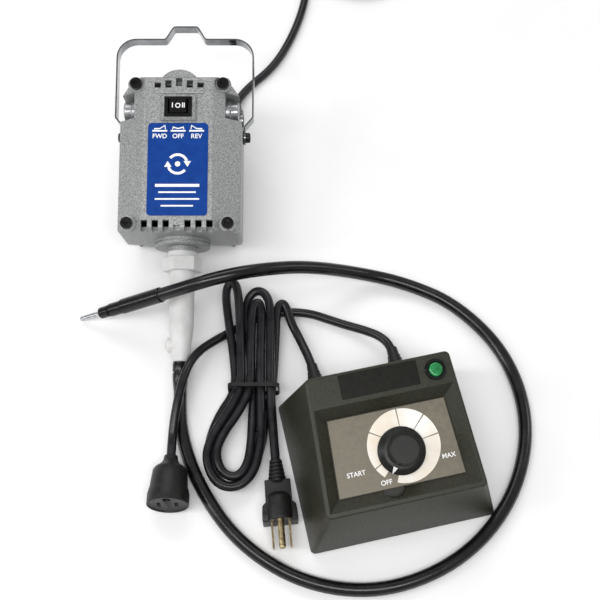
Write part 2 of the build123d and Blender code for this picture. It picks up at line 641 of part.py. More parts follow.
def make_set_screw():
    """Brass grub screw that holds the sheath's ferrule."""
    screw = rod_x(SET_SCREW_R, -SET_SCREW_REACH - 0.4, -SHEATH_FERRULE_R, z=SET_SCREW_Z)
    slot = block((-SET_SCREW_REACH - 1, -0.4, SET_SCREW_Z - 3), (-SET_SCREW_REACH + 0.8, 0.4, SET_SCREW_Z + 3))
    return screw - slot


def make_sheath_ferrule():
    """Steel sleeve in the connector with a collar at its mouth, hollow for the driven core."""
    sleeve = rod(SHEATH_FERRULE_R, CONNECTOR_END_Z, TAPER_TOP_Z)
    sleeve += rod(SHEATH_COLLAR_R, CONNECTOR_END_Z - SHEATH_COLLAR, CONNECTOR_END_Z)
    return sleeve - rod(FLEX_CORE_R + 0.6, CONNECTOR_END_Z - SHEATH_COLLAR + 1, TAPER_TOP_Z + 1)


# ------------------------------------------------------------------ cords
def run_length(first, second):
    return hypot(*(b - a for a, b in zip(first, second)))


def unit(direction):
    size = hypot(*direction)
    return tuple(part / size for part in direction)


def along(point, direction, distance):
    """The point moved along a direction."""
    return tuple(p + d * distance for p, d in zip(point, unit(direction)))


def place(location, point):
    """A point of a frame, in the object's frame."""
    return tuple((location * Location(point)).position)


def cord_tube(name, points, diameter, least=5.0):
    """A cord along straight runs joined by arcs as large as the runs allow."""
    radii = []
    for before, here, after in zip(points, points[1:], points[2:]):
        turn = (Vector(*here) - Vector(*before)).get_angle(Vector(*after) - Vector(*here))
        shorter = min(run_length(before, here), run_length(here, after))
        radii.append(0.45 * shorter / tan(radians(turn) / 2))
    path = FilletPolyline(*points, radius=radii)
    start = Plane(origin=path @ 0, z_dir=path % 0)
    tube = sweep(start * Circle(diameter / 2), path)
    ideal = pi * diameter ** 2 / 4 * path.length
    print(f"{name}: length {path.length:.0f}, least radius {min(radii):.0f} "
          f"({min(radii) / diameter:.1f} diameters, wanted {least}), volume ratio {tube.volume / ideal:.4f}")
    print("   radii", [round(radius) for radius in radii])
    print("   runs", [round(run_length(a, b)) for a, b in zip(points, points[1:])])
    return tube


def stub(point, direction, length, diameter):
    """A short straight piece of cord that starts at a point."""
    plane = Plane(origin=point, z_dir=unit(direction))
    return extrude(plane * Circle(diameter / 2), amount=length)


tip_axis = unit(TIP_AIM)
sheath_start = place(MOTOR, (0, 0, CONNECTOR_END_Z - SHEATH_COLLAR))


def make_sheath():
    """The flexible sheath from the connector to the tip ferrule."""
    first = along(sheath_start, (0, -cos(tilt), -sin(tilt)), SHEATH_FIRST_RUN)
    last = along(TIP_BACK, tip_axis, -TIP_LAST_RUN)
    return cord_tube("flex_sheath", [sheath_start, first] + SHEATH_ROUTE + [last, TIP_BACK], SHEATH_D)


def make_tip():
    """Ferrule, two lock rings and the driven tip, along the tip's axis."""
    frame = Plane(origin=TIP_BACK, z_dir=tip_axis).location
    ferrule = rod(TIP_FERRULE_R, 0, TIP_FERRULE_LENGTH)
    ferrule = chamfer(ferrule.edges(), 0.6)
    neck_end = TIP_FERRULE_LENGTH + sum(TIP_RING_LENGTH) + TIP_RING_GAP
    ferrule += rod(TIP_NECK_R, TIP_FERRULE_LENGTH, neck_end)
    ferrule -= rod(TIP_BORE_R, TIP_FERRULE_LENGTH - 10, neck_end + 1)
    first_end = TIP_FERRULE_LENGTH + TIP_RING_LENGTH[0]
    rings = [
        chamfer(rod(TIP_RING_R[0], TIP_FERRULE_LENGTH, first_end, hole=TIP_NECK_R).edges(), 0.4),
        chamfer(rod(TIP_RING_R[1], first_end + TIP_RING_GAP, neck_end, hole=TIP_NECK_R).edges(), 0.4),
    ]
    root = TIP_FERRULE_LENGTH - 8
    end = neck_end + TIP_ROD_REACH
    driven = turned([
        (0, root), (TIP_INNER_R, root), (TIP_INNER_R, neck_end + TIP_SHOULDER), (TIP_ROD_R, neck_end + TIP_SHOULDER),
        (TIP_ROD_R, end - 1.2), (1.2, end), (0, end),
    ])
    driven -= block((-3, TIP_ROD_R / 2, end - TIP_KEY), (3, 3, end + 1))
    return frame * ferrule, [frame * ring for ring in rings], frame * driven


boot_start = place(MOTOR, (BOOT_X, back_y, BOOT_Z))
boot_down = (0, sin(tilt), -cos(tilt))
boot_corner = along(boot_start, boot_down, (boot_start[2] - BOOT_EXIT_Z) / cos(tilt))
boot_turn = degrees(pi / 2) - degrees(atan2(sin(tilt) * BOOT_HEADING[1], 1))
boot_exit = along(boot_corner, (*BOOT_HEADING, 0), BOOT_BEND_R * tan(radians(boot_turn) / 2) + BOOT_TAIL)


def make_boot():
    """Rubber boot behind the motor that props it up and turns its cord along the table."""
    path = FilletPolyline(boot_start, boot_corner, boot_exit, radius=BOOT_BEND_R)
    start = Plane(origin=path @ 0, z_dir=path % 0)
    boot = sweep(start * Circle(BOOT_R), path)
    flange = MOTOR * rod_y(BOOT_FLANGE_R, back_y, back_y + BOOT_FLANGE, BOOT_X, BOOT_Z)
    root = MOTOR * rod_y(BOOT_R, back_y - BODY_WALL, back_y + 1, BOOT_X, BOOT_Z)
    return boot + flange + root


coil_r = COIL_MEAN_R + (COIL_LAYERS - 1) / 2 * MOTOR_CORD_D


def make_motor_cord():
    """The visible lead and the stored coil, with straight stubs where the cord enters and leaves."""
    first = along(boot_exit, (*BOOT_HEADING, 0), MOTOR_FIRST_RUN)
    lead = cord_tube("motor_cord", [boot_exit, first] + MOTOR_CORD_ROUTE + [MOTOR_CORD_END], MOTOR_CORD_D)
    outer_r = coil_r + MOTOR_CORD_D / 2
    coil = rod(outer_r, 0.2, COIL_HEIGHT, hole=outer_r - COIL_LAYERS * MOTOR_CORD_D)
    coil = Pos(*COIL_CENTRE) * fillet(coil.edges(), 3.0)
    heading = tuple(b - a for a, b in zip(MOTOR_CORD_ROUTE[-1], MOTOR_CORD_END))
    coil += stub(MOTOR_CORD_END, heading, COIL_CENTRE[1] - MOTOR_CORD_END[1], MOTOR_CORD_D)
    plug_tail = (COIL_CENTRE[0] - coil_r, COIL_CENTRE[1] + COIL_TAIL, PLUG_AXIS_Z)
    coil += stub(plug_tail, (0, -1, 0), COIL_TAIL, MOTOR_CORD_D)
    return lead, coil, plug_tail


def make_plug(tail, heading):
    """Moulded three-prong plug: ribbed relief, shouldered body, two blades and a ground pin."""
    side = (-heading[1], heading[0], 0)
    frame = Plane(origin=tail, x_dir=side, z_dir=(*heading, 0)).location
    up = 1 if place(frame, (0, 1, 0))[2] > tail[2] else -1
    relief = turned([(0, 0), (4.6, 0), (6.4, PLUG_RELIEF), (0, PLUG_RELIEF)])
    for height in (5.0, 8.5, 12.0):
        groove = turned([(4.6, height), (8, height), (8, height + 1.4), (4.6, height + 1.4)])
        relief -= groove
    neck = RectangleRounded(*PLUG_NECK, 3.0)
    face = RectangleRounded(*PLUG_FACE, 4.0)
    body = loft([Pos(0, 0, PLUG_RELIEF) * neck, Pos(0, 0, PLUG_RELIEF + PLUG_SHOULDER) * face])
    body += Pos(0, 0, PLUG_RELIEF + PLUG_SHOULDER) * extrude(face, amount=PLUG_LENGTH - PLUG_RELIEF - PLUG_SHOULDER)
    blade_w, blade_h, blade_l = BLADE
    root = PLUG_LENGTH - PRONG_ROOT
    prongs = []
    for x in (-BLADE_PITCH / 2, BLADE_PITCH / 2):
        y = -up * BLADE_DROP
        prongs.append(block((x - blade_w / 2, y - blade_h / 2, root),
                            (x + blade_w / 2, y + blade_h / 2, PLUG_LENGTH + blade_l)))
    pin = rod(GROUND_R, root, PLUG_LENGTH + GROUND_LENGTH)
    pin = Pos(0, up * (GROUND_OFFSET - BLADE_DROP), 0) * fillet(pin.edges().group_by(Axis.Z)[-1], 1.6)
    prongs.append(pin)
    plug = relief + body
    for prong in prongs:
        plug -= prong
    return frame * plug, [frame * prong for prong in prongs]


def make_hank():
    """Outer shape of the tied supply cord, its tie, the lead to it and the strand to the plug."""
    bundle = prism(HANK_OUTLINE, Plane.XY, 30, 2.0)
    bundle &= prism(HANK_PROFILE, Plane.YZ, 200, 1.5)
    lead_in = tuple(b - a for a, b in zip(SUPPLY_ROUTE[-2], SUPPLY_ROUTE[-1]))
    bundle += stub(SUPPLY_ROUTE[-1], lead_in, HANK_STUB, CORD_D)
    lead_out = tuple(a - b for a, b in zip(PLUG_STRAND[0], PLUG_STRAND[1]))
    bundle += stub(PLUG_STRAND[0], lead_out, HANK_STUB, CORD_D)
    middle = Pos(sum(TIE_SPAN) / 2, TIE_Y, sum(TIE_RISE) / 2)
    wide, tall = TIE_SPAN[1] - TIE_SPAN[0], TIE_RISE[1] - TIE_RISE[0]
    band = RectangleRounded(wide + 2 * TIE_THICK, tall + 2 * TIE_THICK, 4.0) - RectangleRounded(wide, tall, 3.0)
    tie = middle * extrude(Plane.XZ * band, amount=TIE_WIDTH / 2, both=True)
    return bundle, tie


def gland_runs(gland_x):
    """The first two points of a cord: the end of its gland and a run straight back from it."""
    end_y = back_wall_y(GLAND_Z) + GLAND_LENGTH
    return [place(BOX, (gland_x, end_y, GLAND_Z)), place(BOX, (gland_x, end_y + GLAND_FIRST_RUN, GLAND_Z))]


def make_supply_cord():
    """The lead from the box to the hank and the strand from the hank to the plug."""
    lead = cord_tube("supply lead", gland_runs(SUPPLY_GLAND_X) + SUPPLY_ROUTE, CORD_D)
    last = along(SUPPLY_PLUG_TAIL, (*SUPPLY_PLUG_HEADING, 0), -PLUG_LAST_RUN)
    strand = cord_tube("plug strand", PLUG_STRAND + [last, SUPPLY_PLUG_TAIL], CORD_D)
    return [lead, strand]


receptacle_axis = (0, -cos(radians(RECEPTACLE_RISE)), sin(radians(RECEPTACLE_RISE)))


def make_output_cord():
    """The cord from the box, under the hank and over the sheath, to the receptacle."""
    last = along(RECEPTACLE_TAIL, receptacle_axis, -RECEPTACLE_LAST_RUN)
    points = gland_runs(OUTPUT_GLAND_X) + OUTPUT_ROUTE + [last, RECEPTACLE_TAIL]
    return cord_tube("output_cord", points, CORD_D)


def make_receptacle():
    """Three-hole receptacle body and the brass contacts behind its holes."""
    frame = Plane(origin=RECEPTACLE_TAIL, x_dir=(1, 0, 0), z_dir=receptacle_axis).location
    body = turned([
        (0, 0), (RECEPTACLE_TAIL_R, 0), (RECEPTACLE_TAIL_R + 0.6, 5), (RECEPTACLE_SHOULDER_R, RECEPTACLE_SHOULDER),
        (RECEPTACLE_FACE_R, RECEPTACLE_LENGTH - 8), (RECEPTACLE_FACE_R, RECEPTACLE_LENGTH), (0, RECEPTACLE_LENGTH),
    ])
    deep = RECEPTACLE_LENGTH - 16
    contacts = []
    for x in (-BLADE_PITCH / 2, BLADE_PITCH / 2):
        slot = block((x - 1.3, -1 - 4.2, deep), (x + 1.3, -1 + 4.2, RECEPTACLE_LENGTH + 1))
        body -= slot
        contacts.append(block((x - 1.3, -1 - 4.2, deep), (x - 0.8, -1 + 4.2, RECEPTACLE_LENGTH - 4)))
    ground = Pos(0, 8.4, 0) * rod(3.0, deep, RECEPTACLE_LENGTH + 1)
    body -= ground
    contacts.append(Pos(0, 8.4, 0) * rod(3.0, deep, RECEPTACLE_LENGTH - 4, hole=2.5))
    return frame * body, [frame * contact for contact in contacts]


# ------------------------------------------------------------------ control box
slope_rad = radians(BOX_SLOPE)
box_depth = BOX_SLOPE_LENGTH * cos(slope_rad)
box_height = BOX_FRONT_HEIGHT + BOX_SLOPE_LENGTH * sin(slope_rad)


def back_wall_y(z):
    return box_depth + BOX_BACK_DRAFT * (box_height - z)


def front_wall_y(z):
    return -BOX_FRONT_DRAFT * (BOX_FRONT_HEIGHT - z)


def half_width(z):
    return BOX_TOP_WIDTH / 2 + BOX_SIDE_DRAFT * (BOX_FRONT_HEIGHT - z)


def box_block(inset, low_z):
    """The drafted box with its sloping top, drawn in by a wall if asked."""
    top = box_height + 1
    side = [
        (front_wall_y(low_z), low_z), (back_wall_y(low_z), low_z), (box_depth, box_height),
        (0, BOX_FRONT_HEIGHT),
    ]
    front = [(-half_width(low_z), low_z), (half_width(low_z), low_z), (half_width(top), top),
             (-half_width(top), top)]
    body = prism(side, Plane.YZ, BOX_TOP_WIDTH, 0, inset)
    return body & prism(front, Plane.XZ, BOX_SLOPE_LENGTH * 2, 0, inset)


def recess(grow, depth):
    """The bevelled recess of the dial panel, in the slope's frame."""
    def outline(margin, low, high):
        points = []
        for y in (low, high):
            z = BOX_FRONT_HEIGHT + y * sin(slope_rad)
            points.append((half_width(z) - margin, y))
        (low_half, low_y), (high_half, high_y) = points
        return Polygon((-low_half, low_y), (low_half, low_y), (high_half, high_y), (-high_half, high_y),
                       align=None)
    upper = outline(RECESS_RIM - grow, RECESS_LOW - grow, RECESS_HIGH + grow)
    lower = outline(RECESS_RIM + RECESS_BEVEL - grow, RECESS_LOW + RECESS_BEVEL - grow,
                    RECESS_HIGH - RECESS_BEVEL + grow)
    pit = loft([upper, Pos(0, 0, -depth) * lower])
    return pit + extrude(upper, amount=3)


def slope_rod(radius, low, high, centre, hole=0.0):
    """A round bar square to the sloping top, in the slope's frame."""
    return Pos(*centre) * rod(radius, low, high, hole)


def make_control_housing():
    """The moulded upper case."""
    to_slope = Location((0, 0, BOX_FRONT_HEIGHT), (BOX_SLOPE, 0, 0))
    outer = box_block(0, BOX_GROUND_GAP)
    uprights = [edge for edge in outer.edges() if edge.length > 50 and abs((edge % 0.5).Z) > 0.8]
    outer = fillet(uprights, BOX_CORNER)
    rim = outer.faces().sort_by(Axis.Z)[-1]
    outer = fillet(rim.edges(), 1.5)
    hollow = box_block(BOX_WALL, BOX_GROUND_GAP)
    hollow += box_block(BOX_WALL, BOX_GROUND_GAP) & block((-200, -200, 0), (200, 200, 10))
    hollow -= to_slope * recess(BOX_WALL, RECESS_DEPTH + BOX_WALL)
    hollow -= to_slope * slope_rod(NOTCH_R + BOX_WALL, -NOTCH_DEPTH - BOX_WALL, 2, NOTCH_CENTRE)
    case = outer - hollow
    floor_cut = base_outline(BOX_WALL)
    case -= extrude(Pos(0, 0, BOX_GROUND_GAP - 1) * floor_cut, amount=BOX_WALL + 4)
    case -= to_slope * recess(0, RECESS_DEPTH)
    case -= to_slope * slope_rod(NOTCH_R, -NOTCH_DEPTH, 2, NOTCH_CENTRE)
    plate_w, plate_h = NAME_PLATE
    plate_pocket = Pos(*NAME_PLATE_CENTRE) * RectangleRounded(plate_w + 0.4, plate_h + 0.4, 1.0)
    case -= to_slope * extrude(plate_pocket, amount=-NAME_PLATE_DEPTH)
    case -= to_slope * slope_rod(LAMP_BARREL_R, -10, 2, LAMP_CENTRE)
    case -= to_slope * slope_rod(POT_BUSH_R, -20, 0, DIAL_CENTRE)
    for gland_x in (SUPPLY_GLAND_X, OUTPUT_GLAND_X):
        case -= rod_y(GLAND_R - 1.5, box_depth - 5, box_depth + 40, gland_x, GLAND_Z)
    return BOX * case


def base_outline(inset):
    """The box's plan at the table, drawn in."""
    half = half_width(BOX_GROUND_GAP) - inset
    front, back = front_wall_y(BOX_GROUND_GAP) + inset, back_wall_y(BOX_GROUND_GAP) - inset
    plan = Polygon((-half, front), (half, front), (half, back), (-half, back), align=None)
    return fillet(plan.vertices(), BOX_CORNER - 1)


def base_corners(inset):
    """Four places set in from the base's corners."""
    half = half_width(0) - inset
    return [(side * half, y) for side in (-1, 1) for y in (front_wall_y(0) + inset, back_wall_y(0) - inset)]


def make_base():
    """Base cover with board posts, its screws and the rubber feet."""
    low = BOX_GROUND_GAP
    plate = extrude(Pos(0, 0, low) * base_outline(BOX_WALL + BASE_GAP), amount=BASE_THICK)
    board_w, board_d, board_t = BOARD
    middle = box_depth / 2
    for x in (-board_w / 2 + 5, board_w / 2 - 5):
        for y in (middle - board_d / 2 + 5, middle + board_d / 2 - 5):
            plate += Pos(x, y, 0) * rod(3.0, low + BASE_THICK, BOARD_Z)
    screws, feet = [], []
    for x, y in base_corners(FOOT_INSET):
        plate -= Pos(x, y, 0) * rod(FOOT_R, 0, low + 0.8)
        plate -= Pos(x, y, 0) * rod(1.6, 0, low + BASE_THICK + 1)
        foot = rod(FOOT_R, 0, low + 0.8, hole=3.2)
        feet.append(BOX * Pos(x, y, 0) * fillet(foot.edges().group_by(Axis.Z)[0], 0.6))
        screw = rod(3.0, low - 0.8, low + 0.8) + rod(1.6, low + 0.8, low + BASE_THICK + 5)
        screws.append(BOX * Pos(x, y, 0) * screw)
    return BOX * plate, screws, feet


def make_dial():
    """Dial plate, name plate, potentiometer, nut, and the knob with its shaft."""
    z_floor = -RECESS_DEPTH
    plate_top = z_floor + DIAL_PLATE_THICK
    margin = RECESS_RIM + RECESS_BEVEL + 0.6
    points = []
    for y in (RECESS_LOW + RECESS_BEVEL + 0.6, RECESS_HIGH - RECESS_BEVEL - 0.6):
        z = BOX_FRONT_HEIGHT + y * sin(slope_rad)
        points.append((half_width(z) - margin, y))
    (low_half, low_y), (high_half, high_y) = points
    outline = Polygon((-low_half, low_y), (low_half, low_y), (high_half, high_y), (-high_half, high_y),
                      align=None)
    plate = extrude(Pos(0, 0, z_floor) * outline, amount=DIAL_PLATE_THICK)
    plate -= slope_rod(POT_BUSH_R, -20, 0, DIAL_CENTRE)
    name_plate = Pos(*NAME_PLATE_CENTRE, -NAME_PLATE_DEPTH) * RectangleRounded(*NAME_PLATE, 0.8)
    name_plate = extrude(name_plate, amount=NAME_PLATE_THICK)
    under = z_floor - BOX_WALL
    pot = slope_rod(POT_BODY_R, under - POT_BODY_HEIGHT, under, DIAL_CENTRE)
    pot += slope_rod(POT_BUSH_R, under, plate_top + 4.0, DIAL_CENTRE)
    pot -= slope_rod(POT_SHAFT_R + RUNNING_GAP, under - 6, 10, DIAL_CENTRE)
    hexagon = RegularPolygon(POT_NUT_FLATS / 2, 6, major_radius=False)
    nut = Pos(*DIAL_CENTRE, plate_top) * extrude(hexagon, amount=POT_NUT_HEIGHT)
    nut -= slope_rod(POT_BUSH_R, plate_top - 1, 10, DIAL_CENTRE)
    low = plate_top + KNOB_GAP
    top = plate_top + KNOB_HEIGHT
    knob = turned([
        (0, low), (KNOB_SKIRT_R, low), (KNOB_SKIRT_R, low + 1.4), (KNOB_CAP_R + 2.2, low + 4.6),
        (KNOB_CAP_R, low + 5.0), (KNOB_CAP_R - 0.3, top - 0.8), (KNOB_CAP_R - 1.1, top), (0, top),
    ])
    knob -= rod(9.0, low - 1, plate_top + 5.0)
    knob -= rod(POT_SHAFT_R, low, top - 3)
    pointer = block((KNOB_CAP_R + 2.6, -0.7, low + 1.0), (KNOB_SKIRT_R + 1, 0.7, low + 5))
    knob -= Rot(0, 0, KNOB_OFF_ANGLE) * pointer
    shaft = slope_rod(POT_SHAFT_R, under - 5, top - 3, DIAL_CENTRE)
    return [SLOPE * piece for piece in (plate, name_plate, pot, nut, Pos(*DIAL_CENTRE) * knob, shaft)]


def make_lamp():
    """Pilot lamp: bezel with its barrel, and the domed lens."""
    bezel = slope_rod(LAMP_BEZEL_R, 0, LAMP_BEZEL_HEIGHT, (0, 0), hole=LAMP_LENS_R)
    bezel = chamfer(bezel.edges().group_by(Axis.Z)[-1], 0.6)
    bezel += rod(LAMP_BARREL_R, -9, 0, hole=LAMP_LENS_R)
    lens = rod(LAMP_LENS_R, -6, LAMP_BEZEL_HEIGHT + 0.6)
    lens = fillet(lens.edges().group_by(Axis.Z)[-1], 1.6)
    spot = SLOPE * Pos(*LAMP_CENTRE)
    return spot * bezel, spot * lens


def make_electronics():
    """Circuit board on its posts, triac with a finned heat sink, and a film capacitor."""
    board_w, board_d, board_t = BOARD
    middle = box_depth / 2
    top = BOARD_Z + board_t
    board = block((-board_w / 2, middle - board_d / 2, BOARD_Z), (board_w / 2, middle + board_d / 2, top))
    sink = block((-30, middle - 12, top), (-2, middle - 8, top + 22))
    for step in range(5):
        x = -30 + 6.5 * step
        sink += block((x, middle - 12, top), (x + 2, middle + 4, top + 22))
    triac = block((-21, middle - 16.5, top), (-11, middle - 12, top + 15))
    capacitor = block((10, middle - 6, top), (28, middle + 3, top + 14))
    capacitor = fillet(capacitor.edges().filter_by(Axis.Z), 1.5)
    return BOX * board, [BOX * sink, BOX * triac], BOX * capacitor


def make_glands():
    """Strain reliefs in the box's back wall, one for each cord."""
    glands = []
    for gland_x, diameter in ((SUPPLY_GLAND_X, CORD_D), (OUTPUT_GLAND_X, CORD_D)):
        wall_y = back_wall_y(GLAND_Z)
        end_y = wall_y + GLAND_LENGTH
        sleeve = turned([
            (0, -7), (GLAND_R - 1.5, -7), (GLAND_R - 1.5, 1.5), (GLAND_R + 0.8, 1.5), (GLAND_R + 0.8, 4),
            (GLAND_R - 0.4, 4.4), (diameter / 2 + 0.9, GLAND_LENGTH), (0, GLAND_LENGTH),
        ])
        sleeve = Pos(gland_x, wall_y, GLAND_Z) * Rot(-90, 0, 0) * sleeve
        sleeve -= rod_y(2.0, wall_y - 10, end_y - 4, gland_x, GLAND_Z)
        glands.append(BOX * sleeve)
    return glands


# ------------------------------------------------------------------ build
def save(name, *shapes):
    """Write one node from its solids."""
    solids = solids_of(*[shape for item in shapes for shape in (item if isinstance(item, list) else [item])])
    shape = solids[0] if len(solids) == 1 else Compound(children=solids)
    export_step(shape, f"parts/{name}.step")


def on_motor(shape):
    """Motor pieces moved from the motor's frame to the object's."""
    if isinstance(shape, (list, tuple)):
        return [MOTOR * piece for piece in shape]
    return MOTOR * shape


os.makedirs("parts", exist_ok=True)

front_housing, rear_housing = make_housing()
switch_body, switch_rocker = make_switch()
shaft, core, windings, commutator, fan, coupling, flex_core = make_armature()
stator, field_coils = make_stator()
tubes, brushes, springs, caps = make_brushes()
motor_pieces = {
    "front_housing": front_housing, "rear_housing": rear_housing, "housing_screws": make_cap_screws(),
    "label_plate": make_label(), "hanger_bail": make_bail(), "bail_screws": make_bail_screws(),
    "switch_body": switch_body, "switch_rocker": switch_rocker, "armature_shaft": shaft,
    "armature_core": core, "armature_windings": windings, "commutator": commutator, "cooling_fan": fan,
    "drive_coupling": coupling, "flex_core_end": flex_core, "field_stator": stator,
    "field_coils": field_coils, "upper_bearing": make_bearing(upper_bearing_z),
    "lower_bearing": make_bearing(lower_bearing_z), "brush_tubes": tubes, "carbon_brushes": brushes,
    "brush_springs": springs, "brush_caps": caps, "end_bell": make_end_bell(),
    "motor_connector": make_connector(), "connector_set_screw": make_set_screw(),
    "sheath_motor_ferrule": make_sheath_ferrule(),
}
for name, piece in motor_pieces.items():
    save(name, on_motor(piece))

save("cord_boot", make_boot())
save("flex_sheath", make_sheath())
tip_ferrule, tip_rings, tip_driven = make_tip()
save("sheath_tip_ferrule", tip_ferrule)
save("tip_rings", tip_rings)
save("flex_shaft_tip", tip_driven)

motor_lead, motor_coil, motor_plug_tail = make_motor_cord()
save("motor_cord", motor_lead)
save("motor_cord_coil", motor_coil)
motor_plug, motor_prongs = make_plug(motor_plug_tail, (0.0, 1.0))
save("motor_plug", motor_plug)
save("motor_plug_prongs", motor_prongs)

save("control_housing", make_control_housing())
base_cover, base_screws, rubber_feet = make_base()
save("base_cover", base_cover)
save("base_screws", base_screws)
save("rubber_feet", rubber_feet)
dial_names = ("dial_plate", "name_plate", "potentiometer", "dial_nut", "speed_knob", "dial_shaft")
for name, piece in zip(dial_names, make_dial()):
    save(name, piece)
lamp_bezel, lamp_lens = make_lamp()
save("lamp_bezel", lamp_bezel)
save("lamp_lens", lamp_lens)
board, triac, capacitor = make_electronics()
save("circuit_board", board)
save("triac_heat_sink", triac)
save("film_capacitor", capacitor)
save("cord_glands", make_glands())

hank, hank_tie = make_hank()
save("supply_cord", make_supply_cord())
save("supply_cord_hank", hank)
save("hank_tie", hank_tie)
supply_plug, supply_prongs = make_plug(SUPPLY_PLUG_TAIL, SUPPLY_PLUG_HEADING)
save("supply_plug", supply_plug)
save("supply_plug_prongs", supply_prongs)
save("output_cord", make_output_cord())
receptacle, contacts = make_receptacle()
save("receptacle_body", receptacle)
save("receptacle_contacts", contacts)
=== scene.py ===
"""Rotary tool with flex shaft: a hang-up motor lying on a bench, its flexible drive shaft, and a
dial speed control, with their cords. The object is put together in the order of the sections."""
import json
from math import cos, pi, radians, sin

import bpy
from mathutils import Matrix, Vector


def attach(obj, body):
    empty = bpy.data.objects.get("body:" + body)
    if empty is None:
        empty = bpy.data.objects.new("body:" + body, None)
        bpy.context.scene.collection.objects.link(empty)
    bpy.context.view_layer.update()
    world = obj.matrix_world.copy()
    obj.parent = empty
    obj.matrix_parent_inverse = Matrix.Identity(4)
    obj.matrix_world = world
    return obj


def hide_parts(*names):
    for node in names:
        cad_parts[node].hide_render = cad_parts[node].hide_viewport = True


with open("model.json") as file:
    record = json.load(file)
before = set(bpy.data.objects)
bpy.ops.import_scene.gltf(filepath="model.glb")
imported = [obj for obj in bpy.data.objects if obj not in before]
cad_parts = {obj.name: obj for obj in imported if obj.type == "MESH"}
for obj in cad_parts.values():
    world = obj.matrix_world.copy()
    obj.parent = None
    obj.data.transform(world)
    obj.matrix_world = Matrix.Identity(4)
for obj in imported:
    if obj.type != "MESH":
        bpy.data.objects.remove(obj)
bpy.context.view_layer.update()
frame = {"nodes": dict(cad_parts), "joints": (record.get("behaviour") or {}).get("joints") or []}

nodes = frame["nodes"]
joints = {joint["name"]: joint for joint in frame["joints"]}

# ---------------------------------------------------------------- camera, table and light
# The object lies on a plain white table and is looked at steeply from the front, in soft light
# from two long lamps overhead, one at the left and a weaker one at the right.
LOOK_AT = Vector((0.00275, 0.0008, 0.0))
CAMERA_ANGLE = radians(64)
CAMERA_DISTANCE = 0.85
LENS = 63.75

camera_data = bpy.data.cameras.new("camera")
camera_data.lens = LENS
camera_data.sensor_width = 36
camera_data.clip_start = 0.05
camera = bpy.data.objects.new("camera", camera_data)
camera.location = LOOK_AT + CAMERA_DISTANCE * Vector((0, -cos(CAMERA_ANGLE), sin(CAMERA_ANGLE)))
camera.rotation_euler = (pi / 2 - CAMERA_ANGLE, 0, 0)
bpy.context.scene.collection.objects.link(camera)
bpy.context.scene.camera = camera
bpy.context.scene.view_settings.view_transform = "Standard"


def linear(colour):
    """An sRGB hex colour as linear red, green, blue and alpha."""
    parts = [int(colour[i:i + 2], 16) / 255 for i in (1, 3, 5)]
    return [c / 12.92 if c <= 0.04045 else ((c + 0.055) / 1.055) ** 2.4 for c in parts] + [1.0]


def add(material, kind, inputs=None, **settings):
    """A shader node with its settings. An input is a value, or a pair of a node and its output."""
    made = material.node_tree.nodes.new(kind)
    for name, value in settings.items():
        setattr(made, name, value)
    for name, value in (inputs or {}).items():
        if isinstance(value, tuple) and isinstance(value[0], bpy.types.Node):
            material.node_tree.links.new(value[0].outputs[value[1]], made.inputs[name])
        else:
            made.inputs[name].default_value = value
    return made


def new_material(name, **surface):
    """A material with the given surface values, and its shader."""
    material = bpy.data.materials.new(name)
    material.use_nodes = True
    shader = material.node_tree.nodes["Principled BSDF"]
    for socket, value in surface.items():
        shader.inputs[socket.replace("_", " ").title().replace("Ior", "IOR")].default_value = value
    return material, shader


# One light and one dark grain make a period of the noise, so a grain of 1 mm repeats 500 times a metre.
PERIODS_PER_METRE = 500
DARK_BELOW, LIGHT_ABOVE = 0.34, 0.66


def grain(material, shader, size_mm, colours, bump=0.0, rough=None, stretch=(1, 1, 1), detail=3.0):
    """Mottles a surface at a grain size: colour between two hex values, bump in millimetres, and a
    range of roughness."""
    place = add(material, "ShaderNodeTexCoord")
    turn = add(material, "ShaderNodeMapping", {"Vector": (place, "Object"), "Scale": stretch})
    noise = add(material, "ShaderNodeTexNoise", {"Vector": (turn, "Vector"), "Detail": detail,
                                                 "Scale": PERIODS_PER_METRE / size_mm, "Roughness": 0.6})
    ramp = add(material, "ShaderNodeValToRGB", {"Fac": (noise, "Fac")})
    ramp.color_ramp.elements[0].position = DARK_BELOW
    ramp.color_ramp.elements[0].color = linear(colours[0])
    ramp.color_ramp.elements[1].position = LIGHT_ABOVE
    ramp.color_ramp.elements[1].color = linear(colours[1])
    material.node_tree.links.new(ramp.outputs["Color"], shader.inputs["Base Color"])
    if rough:
        spread = add(material, "ShaderNodeMapRange", {"Value": (noise, "Fac"), "From Min": 0.3,
                                                      "From Max": 0.7, "To Min": rough[0],
                                                      "To Max": rough[1]})
        material.node_tree.links.new(spread.outputs["Result"], shader.inputs["Roughness"])
    if bump:
        relief = add(material, "ShaderNodeBump", {"Height": (noise, "Fac"), "Distance": bump / 1000,
                                                  "Strength": 1.0})
        material.node_tree.links.new(relief.outputs["Normal"], shader.inputs["Normal"])
    return noise


# Matt white laminate: even, with hardly any sheen.
laminate, shader = new_material("white_laminate", roughness=0.7, specular_ior_level=0.2)
grain(laminate, shader, 40, ("#fbfbfb", "#ffffff"))
TABLE_SIZE = 12
bpy.ops.mesh.primitive_plane_add(size=TABLE_SIZE)
table = bpy.context.object
table.name = "table"
table.data.materials.append(laminate)

ROOM_LIGHT = 0.41
world = bpy.data.worlds.new("studio")
world.use_nodes = True
world.node_tree.nodes["Background"].inputs["Color"].default_value = (1, 1, 1, 1)
world.node_tree.nodes["Background"].inputs["Strength"].default_value = ROOM_LIGHT
bpy.context.scene.world = world


